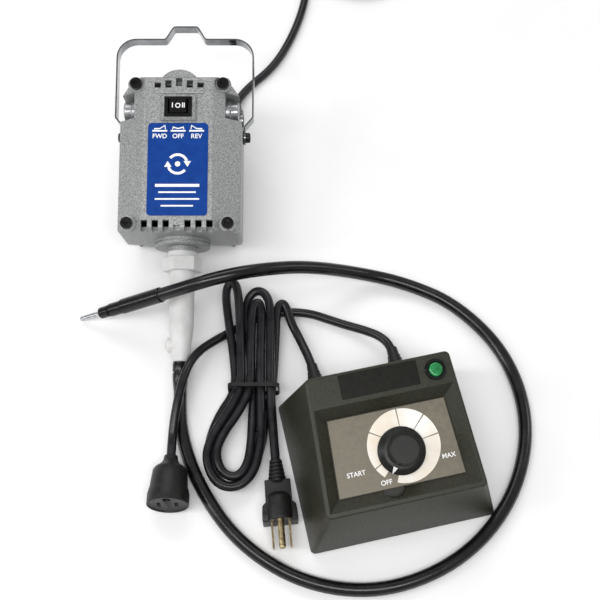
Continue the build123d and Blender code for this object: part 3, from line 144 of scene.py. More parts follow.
def lamp(name, place, size, power):
    """A soft light of a width and a depth at a place, turned to the object."""
    data = bpy.data.lights.new(name, "AREA")
    data.shape = "RECTANGLE"
    data.size, data.size_y = size
    data.energy = power
    lit = bpy.data.objects.new(name, data)
    lit.location = place
    lit.rotation_euler = (LOOK_AT - Vector(place)).to_track_quat("-Z", "Y").to_euler()
    bpy.context.scene.collection.objects.link(lit)


lamp("overhead_front", (-0.15, -0.6, 1.35), (1.4, 0.3), 11)
lamp("overhead_back", (-0.2, 1.0, 1.2), (1.3, 0.6), 6)
lamp("left_side", (-1.3, -0.3, 0.9), (0.3, 1.0), 5.5)
lamp("right_side", (1.2, 0.3, 0.8), (0.3, 0.6), 1.5)

# ---------------------------------------------------------------- flexible sheath
# The drive shaft's sheath: a wound steel liner inside smooth black rubber, stiff, so that it lies
# in one wide loop on the table and then rises over the motor's connector to its tip.
SHEATH_DIAMETER = 0.010
SHEATH_ROUTE = [
    (-0.08875, -0.05931, 0.0107), (-0.08875, -0.07748, 0.00514), (-0.087, -0.112, 0.0052),
    (-0.072, -0.153, 0.0052), (-0.041, -0.196, 0.0052), (0.007, -0.225, 0.0052), (0.064, -0.23, 0.0052),
    (0.121, -0.206, 0.0052), (0.16, -0.161, 0.0052), (0.1755, -0.104, 0.0052), (0.163, -0.048, 0.0052),
    (0.127, -0.006, 0.0052), (0.088, 0.013, 0.0052), (0.05, 0.019, 0.012), (0.008, 0.01, 0.0405),
    (-0.0265, -0.0015, 0.0575), (-0.054, -0.01, 0.063), (-0.07983, -0.01634, 0.05874),
    (-0.1019, -0.0166, 0.045),
]


def lay_cord(name, route, diameter, finish, body="frame"):
    """A round cord on one smooth line through its given route."""
    curve = bpy.data.curves.new(name, "CURVE")
    curve.dimensions = "3D"
    curve.bevel_depth = diameter / 2
    curve.bevel_resolution = 7
    curve.resolution_u = 8
    curve.use_fill_caps = True
    spline = curve.splines.new("NURBS")
    spline.points.add(len(route) - 1)
    for point, place in zip(spline.points, route):
        point.co = (*place, 1)
    spline.order_u = 3
    spline.use_endpoint_u = True
    curve.materials.append(finish)
    piece = bpy.data.objects.new(name, curve)
    bpy.context.scene.collection.objects.link(piece)
    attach(piece, body)
    return piece


# Neoprene, extruded smooth: nearly black, with a soft long highlight and faint rub marks.
neoprene, shader = new_material("extruded_neoprene", roughness=0.25, specular_ior_level=0.5)
grain(neoprene, shader, 6, ("#08080a", "#121214"), bump=0.02, rough=(0.18, 0.32))
sheath = lay_cord("sheath", SHEATH_ROUTE, SHEATH_DIAMETER, neoprene)
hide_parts("flex_sheath")

# ---------------------------------------------------------------- supply cord and its hank
# A three-core mains cord from the control box, folded to and fro into a hank as it is sold, with
# four folds above the tie and three round loops below it, and a moulded plug on its end.
CORD_DIAMETER = 0.0068
SUPPLY_ROUTE = [
    # out of the gland and up into the hank
    (0.01351, -0.06889, 0.013), (0.01135, -0.05913, 0.013), (0.005, -0.0435, 0.0105),
    (0.0, -0.0325, 0.0096), (-0.0045, -0.0235, 0.0108),
    # first fold, at the right, and down through the tie
    (-0.0070, -0.0140, 0.0125), (-0.0110, -0.0075, 0.0138), (-0.0158, -0.0135, 0.0130),
    (-0.0162, -0.0400, 0.0112), (-0.0182, -0.0790, 0.0069),
    # first loop, underneath, right to left
    (-0.0235, -0.1010, 0.0040), (-0.0262, -0.1250, 0.0038), (-0.0350, -0.1480, 0.0038),
    (-0.0510, -0.1550, 0.0038), (-0.0630, -0.1430, 0.0038), (-0.0665, -0.1230, 0.0038),
    (-0.0590, -0.0990, 0.0042), (-0.0455, -0.0790, 0.0068),
    # up the left side, the left fold, and down again
    (-0.0485, -0.0500, 0.0112), (-0.0535, -0.0200, 0.0116), (-0.0560, 0.0010, 0.0125),
    (-0.0530, 0.0090, 0.0150), (-0.0465, 0.0060, 0.0178), (-0.0440, -0.0200, 0.0182),
    (-0.0425, -0.0500, 0.0176), (-0.0412, -0.0790, 0.0138),
    # second loop, over the first, left to right
    (-0.0500, -0.0970, 0.0118), (-0.0625, -0.1160, 0.0109), (-0.0672, -0.1340, 0.0108),
    (-0.0590, -0.1530, 0.0107), (-0.0440, -0.1570, 0.0107), (-0.0310, -0.1460, 0.0108),
    (-0.0262, -0.1240, 0.0108), (-0.0262, -0.1010, 0.0115), (-0.0270, -0.0790, 0.0139),
    # up to the middle fold and down again
    (-0.0275, -0.0500, 0.0178), (-0.0268, -0.0220, 0.0182), (-0.0282, -0.0110, 0.0186),
    (-0.0325, -0.0105, 0.0186), (-0.0345, -0.0220, 0.0182), (-0.0350, -0.0500, 0.0177),
    (-0.0342, -0.0790, 0.0139),
    # third loop, inside the second, left to right
    (-0.0430, -0.0980, 0.0113), (-0.0545, -0.1150, 0.0108), (-0.0598, -0.1300, 0.0106),
    (-0.0545, -0.1450, 0.0105), (-0.0440, -0.1490, 0.0105), (-0.0360, -0.1400, 0.0105),
    (-0.0334, -0.1240, 0.0104), (-0.0330, -0.1010, 0.0082), (-0.0325, -0.0790, 0.0067),
    # up on the underside to the wide fold, and down the right side to the plug
    (-0.0360, -0.0500, 0.0106), (-0.0400, -0.0240, 0.0110), (-0.0390, -0.0060, 0.0135),
    (-0.0325, 0.0010, 0.0165), (-0.0250, -0.0010, 0.0178), (-0.0202, -0.0120, 0.0184),
    (-0.0200, -0.0450, 0.0182), (-0.0195, -0.0800, 0.0146), (-0.0182, -0.1010, 0.0115),
    (-0.01664, -0.11966, 0.012), (-0.0152, -0.1356, 0.012),
]
# Flexible vinyl, extruded: dark grey-black, a little softer in its shine than the sheath.
vinyl, shader = new_material("cord_vinyl", roughness=0.32, specular_ior_level=0.4)
grain(vinyl, shader, 5, ("#0d0d10", "#1a1a1e"), bump=0.02, rough=(0.24, 0.4))
supply = lay_cord("supply_lead", SUPPLY_ROUTE, CORD_DIAMETER, vinyl)
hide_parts("supply_cord", "supply_cord_hank")

# ---------------------------------------------------------------- output cord
# A short cord of the same kind, from the control box under the hank and up over the sheath.
OUTPUT_ROUTE = [
    (0.07502, -0.05525, 0.013), (0.07285, -0.04549, 0.013), (0.0655, -0.036, 0.011), (0.053, -0.029, 0.0073),
    (0.034, -0.0215, 0.0036), (0.005, -0.0105, 0.0036), (-0.028, -0.014, 0.0036), (-0.048, -0.027, 0.0039),
    (-0.063, -0.038, 0.0082), (-0.074, -0.0495, 0.0155), (-0.081, -0.0625, 0.0215),
    (-0.0855, -0.078, 0.0225), (-0.0885, -0.093, 0.0195), (-0.0908, -0.107, 0.0155),
    (-0.092, -0.11908, 0.01066), (-0.092, -0.133, 0.0122),
]
output = lay_cord("output_lead", OUTPUT_ROUTE, CORD_DIAMETER, vinyl)
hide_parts("output_cord")

# ---------------------------------------------------------------- motor cord and its coil
# The motor's own cord leaves its boot behind the motor. What is left of it is wound into a coil
# of two layers, three turns in each, with its plug lying beside the coil.
MOTOR_CORD_DIAMETER = 0.007
COIL_CENTRE = Vector((0.060, 0.368, 0.0))
COIL_RADII = (0.049, 0.042, 0.035)
LAYER_HEIGHTS = (0.0037, 0.0107)
POINTS_IN_TURN = 12
MOTOR_ROUTE = [
    (-0.05825, 0.16741, 0.0058), (-0.05519, 0.18514, 0.0058), (-0.0445, 0.206, 0.0037),
    (-0.021, 0.2295, 0.0037), (-0.005, 0.262, 0.0037), (0.006, 0.298, 0.0037), (0.0105, 0.334, 0.0037),
]
turns = [(LAYER_HEIGHTS[0], radius) for radius in COIL_RADII]
turns += [(LAYER_HEIGHTS[1], radius) for radius in reversed(COIL_RADII)]
for index, (height, radius) in enumerate(turns):
    next_height, next_radius = turns[min(index + 1, len(turns) - 1)]
    for step in range(POINTS_IN_TURN):
        angle = pi - 2 * pi * step / POINTS_IN_TURN
        share = max(0, step - POINTS_IN_TURN / 2) / (POINTS_IN_TURN / 2)
        here = radius + (next_radius - radius) * share
        # the control points stand outside the round line that they make
        reach = here / cos(pi / POINTS_IN_TURN) ** 2
        MOTOR_ROUTE.append((COIL_CENTRE.x + reach * cos(angle), COIL_CENTRE.y + reach * sin(angle),
                            height + (next_height - height) * share))
MOTOR_ROUTE += [(0.0108, 0.368, 0.0107), (0.011, 0.384, 0.0118), (0.011, 0.400, 0.012)]
motor_lead = lay_cord("motor_lead", MOTOR_ROUTE, MOTOR_CORD_DIAMETER, vinyl)
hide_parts("motor_cord", "motor_cord_coil")

# ---------------------------------------------------------------- moulded plugs
# Each cord ends in a soft vinyl plug moulded over its prongs: a ribbed strain relief, a shouldered
# body with a round ridge over the ground pin, two flat blades and the pin.
RIB_COUNT = 5


def frame_at(origin, across, upward):
    """The matrix that stands a piece at an origin, its Z upward and its X as near across as can be."""
    x_axis = Vector(across).normalized()
    z_axis = Vector(upward).normalized()
    y_axis = z_axis.cross(x_axis).normalized()
    x_axis = y_axis.cross(z_axis)
    turned = Matrix((x_axis, y_axis, z_axis)).transposed().to_4x4()
    return Matrix.Translation(origin) @ turned


def draw_out(name, stations, sides=4, square=False):
    """A form pulled out along Z, from stations of height, half width, half depth and side shift."""
    bpy.ops.object.select_all(action="DESELECT")
    if square:
        bpy.ops.mesh.primitive_plane_add(size=2)
    else:
        bpy.ops.mesh.primitive_circle_add(vertices=sides, radius=1, fill_type="NGON")
    piece = bpy.context.object
    piece.name = name
    bpy.ops.object.mode_set(mode="EDIT")
    bpy.ops.mesh.select_all(action="SELECT")
    height, wide, deep, shift = stations[0]
    bpy.ops.transform.resize(value=(wide, deep, 1))
    bpy.ops.transform.translate(value=(0, shift, height))
    for next_height, next_wide, next_deep, next_shift in stations[1:]:
        rise = (0, next_shift - shift, next_height - height)
        bpy.ops.mesh.extrude_region_move(TRANSFORM_OT_translate={"value": rise})
        ratio = (next_wide / wide, next_deep / deep, 1)
        bpy.ops.transform.resize(value=ratio, center_override=(0, next_shift, next_height))
        height, wide, deep, shift = next_height, next_wide, next_deep, next_shift
    bpy.ops.mesh.select_all(action="SELECT")
    bpy.ops.mesh.normals_make_consistent(inside=False)
    bpy.ops.object.mode_set(mode="OBJECT")
    return piece


def soften(piece, width, segments=3, angle=35):
    """Rounds a piece's edges and shades it smooth."""
    bevel = piece.modifiers.new("edges", "BEVEL")
    bevel.width = width
    bevel.segments = segments
    bevel.limit_method = "ANGLE"
    bevel.angle_limit = radians(angle)
    bpy.context.view_layer.objects.active = piece
    bpy.ops.object.modifier_apply(modifier="edges")
    bpy.ops.object.select_all(action="DESELECT")
    piece.select_set(True)
    bpy.ops.object.shade_smooth_by_angle(angle=radians(40))


def join(name, pieces):
    """Several meshes as one piece."""
    bpy.ops.object.select_all(action="DESELECT")
    for part in pieces:
        part.select_set(True)
    bpy.context.view_layer.objects.active = pieces[0]
    bpy.ops.object.join()
    pieces[0].name = name
    return pieces[0]


def fit(piece, matrix, finish, body="frame"):
    """Sets a finished piece in its place on a body, with its finish."""
    piece.data.transform(matrix)
    piece.data.materials.clear()
    piece.data.materials.append(finish)
    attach(piece, body)
    return piece


# Moulded vinyl: softer and greyer than the cord, fine-eroded from its tool.
plug_vinyl, shader = new_material("moulded_vinyl", roughness=0.42, specular_ior_level=0.35)
grain(plug_vinyl, shader, 1.2, ("#131212", "#1f1e1d"), bump=0.05, rough=(0.36, 0.5))


def make_plug(name, tail, heading):
    """A moulded plug on a cord's end."""
    relief_rings = [(0.0, 0.0040, 0.0040, 0)]
    for rib in range(RIB_COUNT):
        low = 0.0010 + rib * 0.0029
        swell = 0.0046 + rib * 0.00042
        relief_rings += [(low, swell, swell, 0), (low + 0.0018, swell + 0.0002, swell + 0.0002, 0),
                         (low + 0.0021, swell - 0.0010, swell - 0.0010, 0),
                         (low + 0.0027, swell - 0.0009, swell - 0.0009, 0)]
    relief_rings.append((0.0170, 0.0066, 0.0062, 0))
    relief = draw_out(name + "_relief", relief_rings, sides=32)
    soften(relief, 0.00025, 2, 30)
    body = draw_out(name + "_body", [
        (0.0155, 0.0090, 0.0072, -0.0035), (0.0165, 0.0094, 0.0078, -0.0036),
        (0.0320, 0.0096, 0.0080, -0.0038), (0.0345, 0.0122, 0.0081, -0.0039),
        (0.0400, 0.0127, 0.0081, -0.0039), (0.0452, 0.0128, 0.0081, -0.0039),
        (0.0460, 0.0123, 0.0077, -0.0039),
    ], square=True)
    soften(body, 0.0011, 3, 30)
    ridge = draw_out(name + "_ridge", [
        (0.0245, 0.0050, 0.0030, 0.0016), (0.0275, 0.0076, 0.0062, 0.0036), (0.0295, 0.0085, 0.0074, 0.0042),
        (0.0452, 0.0088, 0.0077, 0.0042), (0.0459, 0.0083, 0.0072, 0.0042),
    ], sides=40)
    soften(ridge, 0.0004, 2, 30)
    whole = join(name, [relief, body, ridge])
    place = frame_at(tail, (-heading[1], heading[0], 0), (*heading, 0))
    if (place @ Vector((0, 1, 0)) - Vector(tail)).z < 0:
        place = place @ Matrix.Rotation(pi, 4, "Z")
    return fit(whole, place, plug_vinyl)


# a tapered vinyl sleeve over each gland at the back of the control box
for name, route in (("supply_relief", SUPPLY_ROUTE), ("output_relief", OUTPUT_ROUTE)):
    along = (Vector(route[1]) - Vector(route[0])).normalized()
    relief = draw_out(name, [
        (-0.0120, 0.0062, 0.0062, 0), (-0.0100, 0.0064, 0.0064, 0), (-0.0040, 0.0063, 0.0063, 0),
        (-0.0035, 0.0056, 0.0056, 0), (-0.0010, 0.0055, 0.0055, 0), (-0.0005, 0.0050, 0.0050, 0),
        (0.0020, 0.0049, 0.0049, 0), (0.0025, 0.0044, 0.0044, 0), (0.0082, 0.0040, 0.0040, 0),
        (0.0086, 0.0037, 0.0037, 0),
    ], sides=40)
    soften(relief, 0.0002, 2, 30)
    fit(relief, frame_at(route[0], (1, 0, 0), along), plug_vinyl)

supply_plug = make_plug("supply_plug_body", SUPPLY_ROUTE[-1], (0.09, -0.996))
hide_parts("supply_plug")
motor_plug = make_plug("motor_plug_body", MOTOR_ROUTE[-1], (0, 1))
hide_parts("motor_plug")

# ---------------------------------------------------------------- receptacle
# The three-hole receptacle on the output cord: a bell of moulded vinyl with two flats at its
# sides, a raised rim round its flat face, and slots over its brass contacts.
RECEPTACLE_TAIL = OUTPUT_ROUTE[-1]
RECEPTACLE_AXIS = (0.0, -0.993961, 0.109734)
BLADE_HALF_PITCH = 0.00635
FLAT_FROM_AXIS = 0.0152


def cut(piece, cutters):
    """Takes cutters out of a piece."""
    for cutter in cutters:
        hollow = piece.modifiers.new("cut", "BOOLEAN")
        hollow.operation = "DIFFERENCE"
        hollow.solver = "EXACT"
        hollow.object = cutter
        bpy.context.view_layer.objects.active = piece
        bpy.ops.object.modifier_apply(modifier="cut")
        bpy.data.objects.remove(cutter)


bell = draw_out("receptacle_bell", [
    (0.0, 0.0050, 0.0050, 0), (0.0030, 0.0054, 0.0054, 0), (0.0060, 0.0068, 0.0066, 0),
    (0.0095, 0.0112, 0.0108, 0), (0.0115, 0.0126, 0.0122, 0), (0.0190, 0.0134, 0.0130, 0),
    (0.0280, 0.0148, 0.0143, 0), (0.0300, 0.0153, 0.0149, 0), (0.0376, 0.0153, 0.0149, 0),
    (0.0380, 0.0149, 0.0145, 0), (0.0380, 0.0138, 0.0134, 0), (0.0372, 0.0136, 0.0132, 0),
], sides=64)
cutters = []
for side in (-1, 1):
    slot = draw_out("slot", [(0.022, 0.0013, 0.0042, -0.001), (0.040, 0.0013, 0.0042, -0.001)],
                    square=True)
    slot.data.transform(Matrix.Translation((side * BLADE_HALF_PITCH, 0, 0)))
    flat = draw_out("flat", [(0.008, 0.002, 0.006, 0), (0.026, 0.002, 0.006, 0)], square=True)
    flat.data.transform(Matrix.Translation((side * FLAT_FROM_AXIS, 0, 0)))
    cutters += [slot, flat]
cutters.append(draw_out("ground", [(0.022, 0.003, 0.003, 0.0084), (0.040, 0.003, 0.003, 0.0084)],
                        sides=28))
cut(bell, cutters)
soften(bell, 0.0003, 2, 38)
receptacle = fit(bell, frame_at(RECEPTACLE_TAIL, (1, 0, 0), RECEPTACLE_AXIS), plug_vinyl)
receptacle.name = "receptacle"
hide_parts("receptacle_body")


def finish_nodes(material, *names):
    """Gives CAD nodes a material."""
    for name in names:
        mesh = nodes[name].data
        mesh.materials.clear()
        mesh.materials.append(material)


finish_nodes(plug_vinyl, "cord_boot", "cord_glands", "rubber_feet", "hank_tie")
# Stamped brass: warm, drawn grain along the blades.
brass, shader = new_material("stamped_brass", metallic=1.0, roughness=0.26)
grain(brass, shader, 2.5, ("#a3906b", "#cdbb95"), bump=0.02, rough=(0.18, 0.34))
finish_nodes(brass, "supply_plug_prongs", "motor_plug_prongs", "receptacle_contacts", "connector_set_screw")

# ---------------------------------------------------------------- sheath fittings
# The tip ferrule, its two rings and the sheath's collar are turned steel, blackened; the driven
# tip is bright ground steel.
# Black oxide on turned steel: satin black with fine turning marks.
black_oxide, shader = new_material("black_oxide", roughness=0.2, specular_ior_level=0.35)
grain(black_oxide, shader, 1.5, ("#060607", "#111112"), bump=0.03, rough=(0.14, 0.3))
finish_nodes(black_oxide, "sheath_tip_ferrule", "tip_rings", "sheath_motor_ferrule", "housing_screws",
             "bail_screws", "base_screws")
# Ground steel: bright, with a fine cross grain.
ground_steel, shader = new_material("ground_steel", metallic=1.0, roughness=0.2)
grain(ground_steel, shader, 1.0, ("#a9abae", "#d2d4d6"), bump=0.02, rough=(0.14, 0.32))
finish_nodes(ground_steel, "flex_shaft_tip", "armature_shaft", "drive_coupling", "flex_core_end",
             "upper_bearing", "lower_bearing", "brush_springs", "potentiometer", "dial_nut", "dial_shaft")

# Where the sheath leaves the connector a short tapered sleeve of the same black steel holds it.
SLEEVE_FROM = Vector(SHEATH_ROUTE[0])
SLEEVE_ALONG = (Vector(SHEATH_ROUTE[1]) - SLEEVE_FROM).normalized()
sleeve = draw_out("sheath_sleeve", [
    (-0.0010, 0.0060, 0.0060, 0), (0.0055, 0.0060, 0.0060, 0), (0.0058, 0.0055, 0.0055, 0),
    (0.0068, 0.0055, 0.0055, 0), (0.0071, 0.0060, 0.0060, 0), (0.0120, 0.0058, 0.0058, 0),
    (0.0200, 0.0050, 0.0050, 0),
], sides=48)
soften(sleeve, 0.0002, 2, 30)
fit(sleeve, frame_at(SLEEVE_FROM, (1, 0, 0), SLEEVE_ALONG), black_oxide)

# ---------------------------------------------------------------- motor housing
# Two halves cast in aluminium, blasted and clear-coated, so that the skin is grey with a coarse
# sparkle of lighter and darker grains. The end bell is the same casting.
MOTOR_ORIGIN = Vector(joints["armature_spin"]["pos_m"])
MOTOR_UP = -Vector(joints["armature_spin"]["axis"])
motor = frame_at(MOTOR_ORIGIN, (1, 0, 0), MOTOR_UP)
FACE = -0.043
face = motor @ Matrix.Translation((0, FACE, 0)) @ Matrix.Rotation(pi / 2, 4, "X")

# Blasted, clear-coated aluminium: grey, sparkling in light and dark grains, with hardly a mirror in
# it. The grains are drawn coarser than a blast leaves them, so that they show.
cast, shader = new_material("blasted_aluminium", metallic=0.35, roughness=0.5)
grain(cast, shader, 0.55, ("#747576", "#b2b3b3"), bump=0.12, rough=(0.34, 0.58), detail=4.0)
finish_nodes(cast, "front_housing", "rear_housing", "end_bell")

# A blank raised bar between the vents and the switch, cast with the front.
BAR_HEIGHT = 0.1074
bar = draw_out("cast_name_bar", [
    (-0.001, 0.0190, 0.0024, 0), (0.0004, 0.0190, 0.0024, 0), (0.0008, 0.0186, 0.0020, 0),
], square=True)
soften(bar, 0.0004, 3, 30)
bar.data.transform(Matrix.Translation((0, BAR_HEIGHT, 0)))
fit(bar, face, cast)

# Inside each side pocket the front half has a round boss over the brush tube, machined bright
# where the brush cap's wrench passes.
POCKET_SIDE = 0.0345
BOSS_HEIGHT = 0.0985
BOSS_DEPTH = -0.0205
BOSS_SUNK = 0.0006
# Machined aluminium: brighter than the casting, with fine lines round the boss.
machined, shader = new_material("machined_aluminium", metallic=0.9, roughness=0.3)
grain(machined, shader, 1.2, ("#8b8c8e", "#c4c5c7"), bump=0.04, rough=(0.22, 0.4), stretch=(0.2, 3, 3))
finish_nodes(machined, "brush_tubes")
for side, name in ((-1, "left"), (1, "right")):
    boss = draw_out("brush_boss_" + name, [
        (0.0, 0.0092, 0.0084, 0), (0.0040, 0.0086, 0.0078, 0), (0.0042, 0.0076, 0.0070, 0),
        (0.0096, 0.0074, 0.0068, 0), (0.0104, 0.0068, 0.0062, 0),
    ], sides=40)
    soften(boss, 0.0003, 2, 30)
    boss.data.transform(Matrix.Rotation(side * pi / 2, 4, "Y"))
    place = motor @ Matrix.Translation((side * (POCKET_SIDE - BOSS_SUNK), BOSS_DEPTH, BOSS_HEIGHT))
    fit(boss, place, machined)

# ---------------------------------------------------------------- hanger
# A strip of spring steel, bent and nickel-plated, bright like a mirror on its flats.
# Nickel plate on spring steel: a cool mirror, only slightly hazed.
plated, shader = new_material("nickel_plate", metallic=1.0, roughness=0.12)
grain(plated, shader, 3.0, ("#7b7d80", "#9b9da0"), bump=0.01, rough=(0.06, 0.16))
finish_nodes(plated, "hanger_bail")

# ---------------------------------------------------------------- rocker switch
# A snap-in three-position rocker switch, moulded in glossy black, with white-filled marks.
# Moulded nylon from a polished tool: deep black with a small sharp highlight.
glossy, shader = new_material("moulded_nylon_black", roughness=0.3, specular_ior_level=0.25)
grain(glossy, shader, 2.0, ("#050506", "#0c0c0d"), bump=0.01, rough=(0.25, 0.38))
finish_nodes(glossy, "switch_body", "switch_rocker", "brush_caps", "lamp_bezel", "cooling_fan")
# Screen-print ink: flat white, very slightly broken.
ink, shader = new_material("white_ink", roughness=0.5, specular_ior_level=0.3)
grain(ink, shader, 1.0, ("#f0f0ee", "#ffffff"), rough=(0.45, 0.6))


def letter(name, words, size, place, finish, body="frame", thick=0.00006):
    """Printed letters, upright and centred at a place."""
    bpy.ops.object.select_all(action="DESELECT")
    bpy.ops.object.text_add()
    text = bpy.context.object
    text.name = name
    text.data.body = words
    text.data.size = size
    text.data.extrude = thick
    text.data.offset = size * 0.018
    text.data.align_x = "CENTER"
    text.data.align_y = "CENTER"
    text.data.resolution_u = 4
    bpy.ops.object.convert(target="MESH")
    return fit(bpy.context.object, place, finish, body)


SWITCH_HEIGHT = 0.09365
SWITCH_OUT = 0.0048
MARK_SIZE = 0.0052
MARK_THICK = 0.0004
for mark, across in (("I", -0.0040), ("O", 0.0), ("II", 0.0042)):
    # the rocker's face rises from its middle to its ends
    rise = 0.0005 + abs(across) * 0.17
    spot = face @ Matrix.Translation((across, SWITCH_HEIGHT, SWITCH_OUT + rise))
    letter("switch_mark_" + mark, mark, MARK_SIZE, spot, ink, "rocker", MARK_THICK)

# ---------------------------------------------------------------- label
# A thin printed plate stuck to the front: blue, with three switch pictures and their words, and a
# plain turning mark below.
LABEL_OUT = 0.0005
LABEL_COLUMN = 0.0138
WORD_HEIGHT = 0.0715
PICTURE_HEIGHT = 0.0757
TURNING_HEIGHT = 0.0500
# Printed polyester film: an even, full blue under a satin coat.
blue, shader = new_material("printed_polyester", roughness=0.4, specular_ior_level=0.12)
grain(blue, shader, 3.0, ("#0c3a86", "#104192"), bump=0.01, rough=(0.36, 0.48))
finish_nodes(blue, "label_plate")
for word, across in (("FWD", -LABEL_COLUMN), ("OFF", 0.0), ("REV", LABEL_COLUMN)):
    spot = face @ Matrix.Translation((across, WORD_HEIGHT, LABEL_OUT))
    letter("label_" + word.lower(), word, 0.0049, spot, ink)


def plate(name, corners, thick, place, finish, body="frame"):
    """A thin printed shape from its corners, a flat curve made solid."""
    outline = bpy.data.curves.new(name, "CURVE")
    outline.dimensions = "2D"
    outline.fill_mode = "BOTH"
    outline.extrude = thick / 2
    edge = outline.splines.new("POLY")
    edge.points.add(len(corners) - 1)
    for point, corner in zip(edge.points, corners):
        point.co = (*corner, 0, 1)
    edge.use_cyclic_u = True
    piece = bpy.data.objects.new(name, outline)
    bpy.context.scene.collection.objects.link(piece)
    bpy.ops.object.select_all(action="DESELECT")
    piece.select_set(True)
    bpy.context.view_layer.objects.active = piece
    bpy.ops.object.convert(target="MESH")
    piece = bpy.context.object
    bpy.ops.object.mode_set(mode="EDIT")
    bpy.ops.mesh.select_all(action="SELECT")
    bpy.ops.mesh.remove_doubles(threshold=0.000001)
    bpy.ops.mesh.normals_make_consistent(inside=False)
    bpy.ops.object.mode_set(mode="OBJECT")
    return fit(piece, place @ Matrix.Translation((0, 0, thick / 2)), finish, body)


INK_THICK = 0.00008
for name, across, tilt in (("fwd", -LABEL_COLUMN, 1), ("off", 0.0, 0), ("rev", LABEL_COLUMN, -1)):
    spot = face @ Matrix.Translation((across, PICTURE_HEIGHT, LABEL_OUT))
    base = [(-0.0056, -0.0006), (0.0056, -0.0006), (0.0056, 0.0006), (-0.0056, 0.0006)]
    plate("label_base_" + name, base, INK_THICK, spot, ink)
    left, right = 0.0034 - 0.0013 * tilt, 0.0034 + 0.0013 * tilt
    plate("label_rocker_" + name, [
        (-0.0046, 0.0010), (-0.0040, left), (0.0, 0.0022), (0.0040, right), (0.0046, 0.0010),
        (0.0040, 0.0010), (0.0035, right - 0.0011), (0.0, 0.0013), (-0.0035, left - 0.0011),
        (-0.0040, 0.0010),
    ], INK_THICK, spot, ink)


def ring_points(radius, start, end, count):
    """Points on an arc, angles in degrees."""
    steps = [start + (end - start) * i / (count - 1) for i in range(count)]
    return [(radius * cos(radians(a)), radius * sin(radians(a))) for a in steps]


# two bent arrows that chase each other round a dot
turning_middle = face @ Matrix.Translation((0, TURNING_HEIGHT, LABEL_OUT))
for index in range(2):
    spot = turning_middle @ Matrix.Rotation(pi * index, 4, "Z")
    outline = ring_points(0.0082, 20, 140, 17) + ring_points(0.0062, 140, 20, 17)
    plate(f"turning_mark_{index}", outline, INK_THICK, spot, ink)
    tip = [(0.0044, 0.0022), (0.0100, 0.0022), (0.0074, -0.0022)]
    plate(f"turning_arrow_{index}", tip, INK_THICK, spot, ink)
plate("turning_dot", ring_points(0.0020, 0, 345, 24), INK_THICK, turning_middle, ink)
# a thick rule and three thin ones, each given by its half width and half height
RULES = ((0.0165, 0.0011), (0.0140, 0.0006), (0.0165, 0.0006), (0.0120, 0.0006))
TOP_RULE = 0.0335
RULE_STEP = 0.0052
for row, (width, height) in enumerate(RULES):
    spot = face @ Matrix.Translation((0, TOP_RULE - row * RULE_STEP, LABEL_OUT))
    corners = [(-width, -height), (width, -height), (width, height), (-width, height)]
    plate(f"label_rule_{row}", corners, INK_THICK, spot, ink)

# ---------------------------------------------------------------- connector
# The motor's connector is turned from natural nylon: milky light grey, slightly soft to the light.
# Turned natural nylon: milky, with the light sinking in a little, and a faint haze from the tool.
nylon, shader = new_material("turned_nylon", roughness=0.38, specular_ior_level=0.45, subsurface_weight=0.12,
                             subsurface_scale=0.002)
grain(nylon, shader, 8, ("#d2d2d1", "#dededd"), bump=0.02, rough=(0.34, 0.46))
finish_nodes(nylon, "motor_connector")

# ---------------------------------------------------------------- inside the motor
# Laminations are punched steel with a varnish, the coils enamelled copper wire, the commutator
# turned copper, and the brushes pressed carbon.
# Varnished laminations: dark steel, with thin lines where the sheets meet.
lamination, shader = new_material("varnished_laminations", metallic=0.8, roughness=0.45)
grain(lamination, shader, 1.0, ("#3a3b3d", "#56585a"), bump=0.05, rough=(0.35, 0.55), stretch=(1, 6, 6))
finish_nodes(lamination, "armature_core", "field_stator")
# Enamelled copper wire: red-brown and glossy, ridged by its turns.
enamel, shader = new_material("enamelled_copper_wire", metallic=0.6, roughness=0.35)
grain(enamel, shader, 0.9, ("#7a3516", "#b5602d"), bump=0.2, rough=(0.25, 0.45), stretch=(1, 5, 1))
finish_nodes(enamel, "armature_windings", "field_coils")
# Turned copper: warm and bright, with faint marks of the tool.
copper, shader = new_material("turned_copper", metallic=1.0, roughness=0.25)
grain(copper, shader, 1.0, ("#b56d45", "#cf8a60"), bump=0.02, rough=(0.2, 0.35))
finish_nodes(copper, "commutator")
# Pressed carbon: matt charcoal, slightly grainy.
carbon, shader = new_material("pressed_carbon", roughness=0.6)
grain(carbon, shader, 0.8, ("#17171a", "#2b2b2e"), bump=0.05, rough=(0.5, 0.7))
finish_nodes(carbon, "carbon_brushes")

# ---------------------------------------------------------------- control box
# The box is moulded in ABS with a fine leather-like texture, dark olive-black; its base cover is
# the same. Inside are a glass-fibre board, an extruded heat sink and a dipped capacitor.
# Textured ABS: olive-black, in a fine eroded grain that keeps its shine low.
abs_plastic, shader = new_material("textured_abs", roughness=0.4, specular_ior_level=0.35)
grain(abs_plastic, shader, 0.9, ("#23231b", "#313125"), bump=0.08, rough=(0.32, 0.5), detail=4.0)
finish_nodes(abs_plastic, "control_housing", "base_cover")
# Glass-fibre board: green resist over a fine weave.
board_fibre, shader = new_material("glass_fibre_board", roughness=0.4)
grain(board_fibre, shader, 1.0, ("#12502a", "#1a6436"), bump=0.02, rough=(0.3, 0.5))
finish_nodes(board_fibre, "circuit_board")
# Extruded aluminium: bare and bright, with drawn lines.
extrusion, shader = new_material("extruded_aluminium", metallic=1.0, roughness=0.35)
grain(extrusion, shader, 1.5, ("#9b9c9e", "#b9babc"), bump=0.02, rough=(0.3, 0.45), stretch=(1, 1, 0.1))
finish_nodes(extrusion, "triac_heat_sink")
